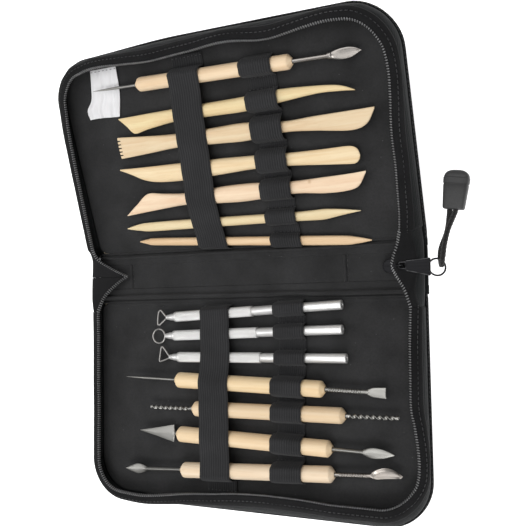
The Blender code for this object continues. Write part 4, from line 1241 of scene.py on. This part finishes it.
# A straight handle, a hair slimmer in the middle, with a turned chamfer and a socket at each end.
def makeHandle(name, handle):
    left, right, radius = handle["left"], handle["right"], handle["radius"]
    holeLeft, holeRight = handle["holes"]
    ends = [(0.0, 0.42), (0.3, 0.48), (2.0, 0.91), (2.4, 0.97), (2.9, 0.99), (4.4, 1.0)]
    profile = [(left + 5.5, holeLeft), (left, holeLeft)]
    profile += [(left + along, radius * share) for along, share in ends]
    run = np.linspace(left + 9, right - 9, 22)
    waist = radius * (1 - 0.022 * np.sin(np.pi * (run - left) / (right - left)))
    profile += list(zip(run, waist))
    profile += [(right - along, radius * share) for along, share in ends[::-1]]
    profile += [(right, holeRight), (right - 5.5, holeRight)]
    points = turnedPoints(profile, 48)
    wood = woodMaterial(name + "HandleWood", handle["pale"], handle["dark"], handle["seed"])
    toolPiece(name + "HandleTurned", name, name + "_handle", points, wood, sharp=32)


for name, handle in handles.items():
    makeHandle(name, handle)
print("wooden tools done")

# steel working ends

needles = {"needle_spoon": (-77, -45.5, 0.8), "needle_chisel": (-80, -43.8, 0.8)}
for name, (tip, root, radius) in needles.items():
    profile = [(tip, 0.05), (tip + 1.5, radius * 0.25), (tip + 6, radius * 0.6), (tip + 14, radius * 0.95),
               (tip + 17, radius), (root - 1, radius), (root + 5.5, radius)]
    toolPiece(name + "Pin", name, name + "_needle", turnedPoints(profile, 20), toolSteel)


# Sections as for the knives. twist (from, to, pitch, flatness) flattens the bar there and turns it half
# round for every pitch; dish (from, to, depth) hollows the top by the square of the place across the
# section.
def barPoints(stations, count, sides=24, power=2.2, twist=None, dish=None):
    rings, middle, halfWide = ovalRings(stations, count, sides, power)
    x, y, z = np.moveaxis(rings, -1, 0)
    if twist:
        start, end, pitch, flatness = twist
        share = smoothStep((x - start) / 2) * smoothStep((end - x) / 2)
        turn = np.pi * (x - start) / pitch * (share > 0)
        wide, thin = y * (1 + 0.12 * share), z * (1 - flatness * share)
        y, z = wide * np.cos(turn) - thin * np.sin(turn), wide * np.sin(turn) + thin * np.cos(turn)
    if dish:
        start, end, depth = dish
        share = smoothStep((x - start) / 4) * smoothStep((end - x) / 3)
        z = z + share * depth * (((y - middle) / np.maximum(halfWide, 0.5)) ** 2 - 0.6)
    return np.stack([x, y, z], -1)


def shaft(start, end, radius):
    return [(start, -radius, radius, radius), (end, -radius, radius, radius)]


steelEnds = {
    "needle_spoon_spoon": {"tool": "needle_spoon", "dish": (74, 89.5, 0.5),
                           "stations": shaft(46.5, 70.6, 1.2) + [
        (71.2, -1.6, 1.6, 1.4), (73, -1.8, 1.8, 1.4), (73.6, -1.8, 1.8, 1.0), (75, -2.2, 2.2, 0.7),
        (79, -2.7, 2.7, 0.6), (83, -2.4, 2.8, 0.55), (86, -1.3, 2.1, 0.45), (88.2, -0.2, 1.1, 0.35),
        (89.2, 0.2, 0.6, 0.2)]},
    "needle_chisel_chisel": {"tool": "needle_chisel", "twist": (53.5, 73, 1.5, 0.14),
                             "stations": shaft(46.5, 74.6, 1.2) + [
        (76.8, -1.6, 1.6, 0.9), (79.2, -2.45, 2.45, 0.6), (82, -2.75, 2.75, 0.45), (86.2, -2.9, 2.9, 0.3),
        (86.8, -2.85, 2.85, 0.12)]},
    "twist_left_rod": {"tool": "twist", "twist": (-61.5, -33.5, 3.5, 0.5), "stations": [
        (-62, -0.1, 0.1, 0.1), (-60.6, -0.9, 0.9, 0.9)] + shaft(-59, -28.5, 1.2)},
    "twist_right_rod": {"tool": "twist", "twist": (65.5, 92.5, 3.5, 0.5), "stations":
                        shaft(59.5, 90.6, 1.2) + [(92, -0.9, 0.9, 0.9), (93, -0.1, 0.1, 0.1)]},
    "blade_leaf_blade": {"tool": "blade_leaf", "power": 1.25, "stations": [
        (-70, -0.2, 0.2, 0.2), (-58, -2.5, 2.5, 0.5), (-46.8, -4.9, 4.9, 0.7), (-45.6, -4.6, 4.6, 0.8),
        (-44.8, -1.6, 1.6, 1.0), (-44.0, -1.2, 1.2, 1.2), (-37.5, -1.2, 1.2, 1.2)]},
    "blade_leaf_leaf": {"tool": "blade_leaf", "power": 1.5, "stations": shaft(50.5, 71.5, 1.2) + [
        (73.6, -1.6, 1.6, 1.0), (76.5, -2.5, 2.5, 0.8), (80, -2.85, 2.85, 0.7), (84.5, -2.3, 2.3, 0.55),
        (88.5, -1.1, 1.1, 0.4), (90.6, -0.2, 0.2, 0.2)]},
    "spear_spoon_spear": {"tool": "spear_spoon", "power": 1.4, "stations": [
        (-81, -0.2, 0.2, 0.2), (-76, -2.0, 2.0, 0.5), (-72, -3.0, 3.0, 0.7), (-68, -2.3, 2.3, 0.8),
        (-65, -1.2, 1.2, 1.1)] + shaft(-63, -36.5, 1.2)},
    "spear_spoon_spoon": {"tool": "spear_spoon", "dish": (77, 95, 1.1), "twist": (59, 75, 1.5, 0.14),
                          "stations": shaft(51.5, 75.6, 1.2) + [
        (78.2, -1.5, 2.0, 0.8), (81, -1.7, 3.3, 0.6), (85, -1.4, 4.3, 0.5), (88.5, -1.2, 3.9, 0.5),
        (91.5, -1.1, 2.5, 0.45), (93.6, -0.9, 1.0, 0.4), (94.6, -0.3, 0.4, 0.3)]},
}
for node, end in steelEnds.items():
    points = barPoints(end["stations"], 190, 26, end.get("power", 2.2), end.get("twist"), end.get("dish"))
    finish = spoonSteel if "dish" in end else toolSteel
    toolPiece(node + "Forged", end["tool"], node, points, finish, sharp=45)

# loop tools: aluminium handles and bent wire

loopTools = {
    "triangle_loop": {"root": -51, "knurlEnd": 8, "right": 63, "wire": [
        (-51.5, 0.75), (-54.5, 4.2), (-55.6, 4.5), (-56.5, 3.6), (-57.3, 0), (-57.6, -3.4),
        (-57.0, -4.2), (-56.0, -4.0), (-51.5, -0.75)]},
    "ring_loop": {"root": -52, "knurlEnd": 11, "right": 63, "wire":
                  [(-52.4, 0.75)] + [(-56.6 + 4.3 * math.cos(math.radians(a)), 4.3 * math.sin(math.radians(a)))
                                     for a in range(22, 360, 22)] + [(-52.4, -0.75)]},
    "slant_loop": {"root": -49, "knurlEnd": 13, "right": 65, "wire": [
        (-49.5, 0.75), (-53.4, 5.6), (-54.6, 6.1), (-55.2, 5.0), (-56.3, -1.6), (-56.2, -2.6),
        (-55.0, -2.6), (-49.5, -0.75)]},
}
loopLook = {"radius": 3.1, "plain": 0.87, "knurlDepth": 0.3, "starts": 14, "lead": 1.35, "sides": 108}


# Cone nose, knurled grip, groove and slimmer plain end. The knurl is the higher of two sets of ridges
# that wind round the grip in opposite ways.
def makeLoopHandle(name, tool):
    radius, plain = loopLook["radius"], loopLook["radius"] * loopLook["plain"]
    root, knurlEnd, right = tool["root"], tool["knurlEnd"], tool["right"]
    nose = [(root + 4.5, 1.0), (root, 1.0), (root, 1.25), (root + 0.3, 1.4), (root + 2.4, 1.75),
            (root + 2.7, 1.95), (root + 5.6, 2.25), (root + 6.0, 2.8), (root + 6.8, radius)]
    grip = [(x, radius) for x in np.arange(root + 7.3, knurlEnd - 0.2, 0.32)]
    tail = [(knurlEnd, radius), (knurlEnd + 0.15, plain - 0.15), (knurlEnd + 1.3, plain - 0.15),
            (knurlEnd + 1.6, plain), (right - 0.5, plain), (right - 0.15, plain - 0.15), (right, plain - 0.5),
            (right, 1.1), (right - 0.8, 1.0), (right - 1.0, 0.1)]
    points = turnedPoints(nose + grip + tail, loopLook["sides"])
    x = points[..., 0]
    angle = np.linspace(0, 2 * np.pi, loopLook["sides"], endpoint=False)[None, :]
    one = np.cos(loopLook["starts"] * (angle + x / radius / loopLook["lead"]))
    two = np.cos(loopLook["starts"] * (angle - x / radius / loopLook["lead"]))
    on = (x > root + 7.9) & (x < knurlEnd - 0.6)
    relief = 1 + loopLook["knurlDepth"] / radius * (np.maximum(one, two) - 1) * on
    points[..., 1:] *= relief[..., None]
    toolPiece(name + "HandleKnurled", name, name + "_handle", points, barAluminium, sharp=48)


def makeLoopWire(name, tool):
    root = tool["root"]
    route = [(root + 4.4, 0.62), (root + 1, 0.66)] + tool["wire"] + [(root + 1, -0.66), (root + 4.4, -0.62)]
    path = smoothLine([(x, y, 0.0) for x, y in route], 120)
    piece = tubePiece(name + "BentWire", toolPlace(name, path), 0.55, wireSteel, name, sides=14)
    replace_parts(piece, name + "_wire")


for name, tool in loopTools.items():
    makeLoopHandle(name, tool)
    makeLoopWire(name, tool)
print("metal tools done")

# zip pull: slider, tab, cord and grip

pullLook = {
    "x": 96.5,
    "height": joints["tab_hinge"]["pos_m"][2] / mm,
    "eye": joints["grip_swing"]["pos_m"][0] / mm,
    "y": joints["tab_hinge"]["pos_m"][1] / mm,
    "cord": 1.4,
}


# Points given from a hinge of the pull, turned into the row frame.
def pullPlace(points, originX):
    return np.asarray(points, float) + np.array([originX, pullLook["y"], pullLook["height"]])


# Sections across x as boxes with round corners: (x, half width, low, high).
def roundedBar(stations, sides=28, power=4.0):
    stations = np.asarray(stations, float)
    boxY, boxZ = roundBox(sides, power)
    x, wide, low, high = (stations[:, k, None] for k in range(4))
    z = (low + high) / 2 + (high - low) / 2 * boxZ[None]
    return np.stack(np.broadcast_arrays(x, wide * boxY[None], z), -1)


# A slider with a top and a bottom plate, narrow at its nose and wide at its shoulders, joined by a
# wedge, with a ring on top that holds the tab.
def makeSlider():
    top, bottom = 8.3 - pullLook["height"], 5.6 - pullLook["height"]
    outline = [(-3.5, 1.2), (-3.3, 1.7), (-2.0, 2.1), (0.0, 2.5), (2.0, 3.0), (3.1, 3.0), (3.5, 2.4)]
    plates = [[(x, wide, low + 0.12 * (abs(x) > 3.2), high - 0.15 * (abs(x) > 3.2)) for x, wide in outline]
              for low, high in ((top - 0.9, top), (bottom, bottom + 0.7))]
    wedge = [(-2.6, 0.8, bottom + 0.5, top - 0.6), (2.4, 1.5, bottom + 0.5, top - 0.6)]
    turn = np.linspace(-np.pi / 2, np.pi / 2, 15)
    nose = [(-6.0 + 3.9 * math.sin(a), max(3.9 * math.cos(a), 0.3), top - 0.75 + 0.1 * abs(math.sin(a)) ** 6,
             top + 0.35 - 0.3 * abs(math.sin(a)) ** 6) for a in turn]
    parts = [roundedBar(plates[0]), roundedBar(wedge), roundedBar(plates[1]), roundedBar(nose, 36, 3.0)]
    for number, part in enumerate(parts):
        piece = gridPiece(f"zipSliderPlate{number}", pullPlace(part, pullLook["x"]), pullMetal, "slider",
                          caps="fan", sharp=40)
        if number == 0:
            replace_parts(piece, "zip_slider")
    turn = np.linspace(math.radians(-42), math.radians(222), 40)
    bail = np.stack([1.75 * np.cos(turn), 0 * turn, 1.75 * np.sin(turn) - 0.15], -1)
    tubePiece("zipSliderRing", pullPlace(bail, pullLook["x"]), 0.55, pullMetal, "slider",
              sides=14)


# A bevelled plate that widens towards a thin round eye, with a narrow loop round the slider's ring.
def makeTab():
    eye = pullLook["eye"] - pullLook["x"] - 0.9
    slant = np.array([[1.0, -0.08, 0], [0, 1, 0], [0, 0, 1]])
    plate = roundedBar([(2.9, 2.0, -0.3, 0.3), (3.3, 2.7, -0.5, 0.5), (4.6, 3.0, -0.55, 0.6),
                        (10, 3.85, -0.55, 0.6), (15.6, 4.75, -0.55, 0.6), (16.0, 4.7, -0.5, 0.5),
                        (16.3, 4.2, -0.35, 0.35)], 36, 6.0)
    piece = gridPiece("pullTabPlate", pullPlace(plate @ slant, pullLook["x"]), pullMetal, "tab",
                      caps="fan", sharp=35)
    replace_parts(piece, "pull_tab")
    # Along each long edge of the plate, a tube in the paler bevel metal: a painted highlight on the bevel.
    for side in (-1, 1):
        line = smoothLine([(3.8, 2.55 * side, 0.55), (10, 3.5 * side, 0.55), (15.4, 4.35 * side, 0.55)], 30)
        tubePiece(f"pullTabBevelHighlight{side + 1}", pullPlace(line @ slant, pullLook["x"]), 0.28, bevelHighlightMetal,
                  "tab", sides=10)
    turn = np.linspace(0, 2 * np.pi, 72, endpoint=False)
    angle = np.linspace(0, 2 * np.pi, 16, endpoint=False)
    radius = 4.4 + 0.52 * np.cos(angle)
    ring = np.stack(np.broadcast_arrays(eye + radius[None] * np.cos(turn)[:, None],
                                        radius[None] * np.sin(turn)[:, None] - 1.6 + 0.08 * eye,
                                        0.55 * np.sin(angle)[None]), -1)
    gridPiece("pullTabEye", pullPlace(ring @ slant, pullLook["x"]), pullMetal, "tab",
              wrapRows=True, sharp=60)
    loop = smoothLine([(4.4, 1.75, 0), (2.4, 1.7, 0), (0.4, 1.65, 0), (-0.25, 1.2, 0), (-0.4, 0, 0),
                       (-0.25, -1.2, 0), (0.4, -1.65, 0), (2.4, -1.7, 0), (4.4, -1.75, 0)], 60)
    tubePiece("pullTabLoop", pullPlace(loop, pullLook["x"]), 0.5, pullMetal, "tab", sides=12)


# The cord's loop through the eye: a braid whose radius rises where strands cross over it.
def makeCord():
    route = [
        (8.7, 31.0, -6.0), (8.4, 27.5, -5.3), (4.9, 17.5, -1.6), (3.3, 9.0, 1.0), (2.9, 4.6, 2.2),
        (2.3, 1.8, 1.8), (1.5, -0.7, 0), (0.8, 1.6, -1.8), (0.5, 4.6, -2.2), (1.2, 9.0, -2.9),
        (4.0, 17.5, -4.8), (5.2, 27.5, -6.3), (5.3, 31.0, -6.1)]
    path = smoothLine(pullPlace(route, pullLook["eye"]), 460)
    angle = np.linspace(0, 2 * np.pi, 24, endpoint=False)
    along = np.linspace(0, 1, len(path))[:, None] * 74
    braid = np.maximum(np.cos(4 * angle[None] + along * 2.6), np.cos(4 * angle[None] - along * 2.6))
    radius = pullLook["cord"] * (0.93 + 0.1 * braid)
    piece = tubePiece("pullCordBraid", path, radius, cordBraid, "grip", sides=24)
    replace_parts(piece, "pull_cord")


# A moulded block: box sections with round corners along y, a raised band and a domed crown.
def makeGrip():
    low = 3.8 - pullLook["height"]
    lengths = np.array([
        (0.0, 4.8, 2.5), (0.25, 5.4, 3.1), (1.0, 5.6, 3.45), (9.0, 6.2, 3.45), (12.6, 6.45, 3.4),
        (12.9, 6.3, 3.2), (13.3, 6.3, 3.2), (13.6, 6.65, 3.5), (16.4, 6.75, 3.5), (16.7, 6.5, 3.2),
        (17.1, 6.45, 3.2), (17.5, 6.4, 3.35), (18.6, 5.9, 3.2), (19.6, 4.9, 2.7), (20.3, 3.6, 2.0),
        (20.6, 2.0, 1.2)])
    boxX, boxZ = roundBox(48, 4.5)
    y, wide, high = (lengths[:, k, None] for k in range(3))
    footX, footY, lean = 7.3, 28.5, math.radians(8)
    across = wide * boxX[None]
    points = np.stack(np.broadcast_arrays(footX + across * math.cos(lean) + y * math.sin(lean),
                                          footY + y * math.cos(lean) - across * math.sin(lean),
                                          low + high * boxZ[None]), -1)
    piece = gridPiece("pullGripMoulded", pullPlace(points, pullLook["eye"]), gripRubber, "grip",
                      caps="fan", sharp=38)
    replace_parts(piece, "pull_grip")


makeSlider()
makeTab()
makeCord()
makeGrip()
print("zip pull done")

# floor, lights and camera

stageLook = {
    "camera": (201.0, 54.1, 398.8),
    "target": (11.8, 80.2, 0.0),
    "roll": -1.01,
    "lens": 51.33,
    "floor": 12.0,
    "floorGlow": 0.75,
    "world": 0.4,
    # place and size in metres, power in watts; every softbox looks at the aim
    "aim": (0, 0.05, 0),
    "softboxes": {"keySoftbox": ((0.25, -0.75, 1.0), (0.7, 0.5), 8.5),
                  "topSoftbox": ((-0.2, 0.25, 1.3), (1.2, 1.2), 9.5),
                  "sideSoftbox": ((-1.0, -0.2, 0.7), (0.6, 0.6), 3.5)},
}


def makeStage():
    floorMesh = bpy.data.meshes.new("floor")
    size = stageLook["floor"]
    corners = [(x * size, y * size, -0.0002) for x, y in ((-1, -1), (1, -1), (1, 1), (-1, 1))]
    floorMesh.from_pydata(corners, [], [(0, 1, 2, 3)])
    floor = bpy.data.objects.new("floor", floorMesh)
    bpy.context.scene.collection.objects.link(floor)
    material, _, shader, _ = startMaterial("palePaper", 0.9)
    shader.inputs["Base Color"].default_value = (0.93, 0.93, 0.93, 1)
    shader.inputs["Specular IOR Level"].default_value = 0.0
    shader.inputs["Emission Color"].default_value = (1, 1, 1, 1)
    shader.inputs["Emission Strength"].default_value = stageLook["floorGlow"]
    floorMesh.materials.append(material)


def makeLight(name, place, size, power):
    data = bpy.data.lights.new(name, "AREA")
    data.shape = "RECTANGLE"
    data.size, data.size_y = size
    data.energy = power
    light = bpy.data.objects.new(name, data)
    bpy.context.scene.collection.objects.link(light)
    light.location = place
    x, y, z = np.array(place) - np.array(stageLook["aim"])
    light.rotation_euler = (math.atan2(math.hypot(x, y), z), 0, math.atan2(y, x) + math.pi / 2)


# Looks from its place at a point on the floor, then rolls about the line of sight.
def makeCamera():
    data = bpy.data.cameras.new("camera")
    data.lens = stageLook["lens"]
    data.sensor_width = 36
    data.clip_start = 0.01
    camera = bpy.data.objects.new("camera", data)
    bpy.context.scene.collection.objects.link(camera)
    place = np.array(stageLook["camera"])
    back = unitOf(place - np.array(stageLook["target"]))
    right = unitOf(np.cross([0, 1, 0], back))
    up = np.cross(back, right)
    roll = math.radians(stageLook["roll"])
    turnedRight = right * math.cos(roll) + up * math.sin(roll)
    turnedUp = up * math.cos(roll) - right * math.sin(roll)
    matrix = np.eye(4)
    matrix[:3, 0], matrix[:3, 1], matrix[:3, 2], matrix[:3, 3] = turnedRight, turnedUp, back, place * mm
    camera.matrix_world = matrix.T
    bpy.context.scene.camera = camera


makeStage()
for name, (place, size, power) in stageLook["softboxes"].items():
    makeLight(name, place, size, power)
world = bpy.data.worlds.new("studio")
bpy.context.scene.world = world
world.use_nodes = True
world.node_tree.nodes["Background"].inputs[0].default_value = (1, 1, 1, 1)
world.node_tree.nodes["Background"].inputs[1].default_value = stageLook["world"]
bpy.context.scene.view_settings.view_transform = "Standard"
makeCamera()
print("stage and camera done")
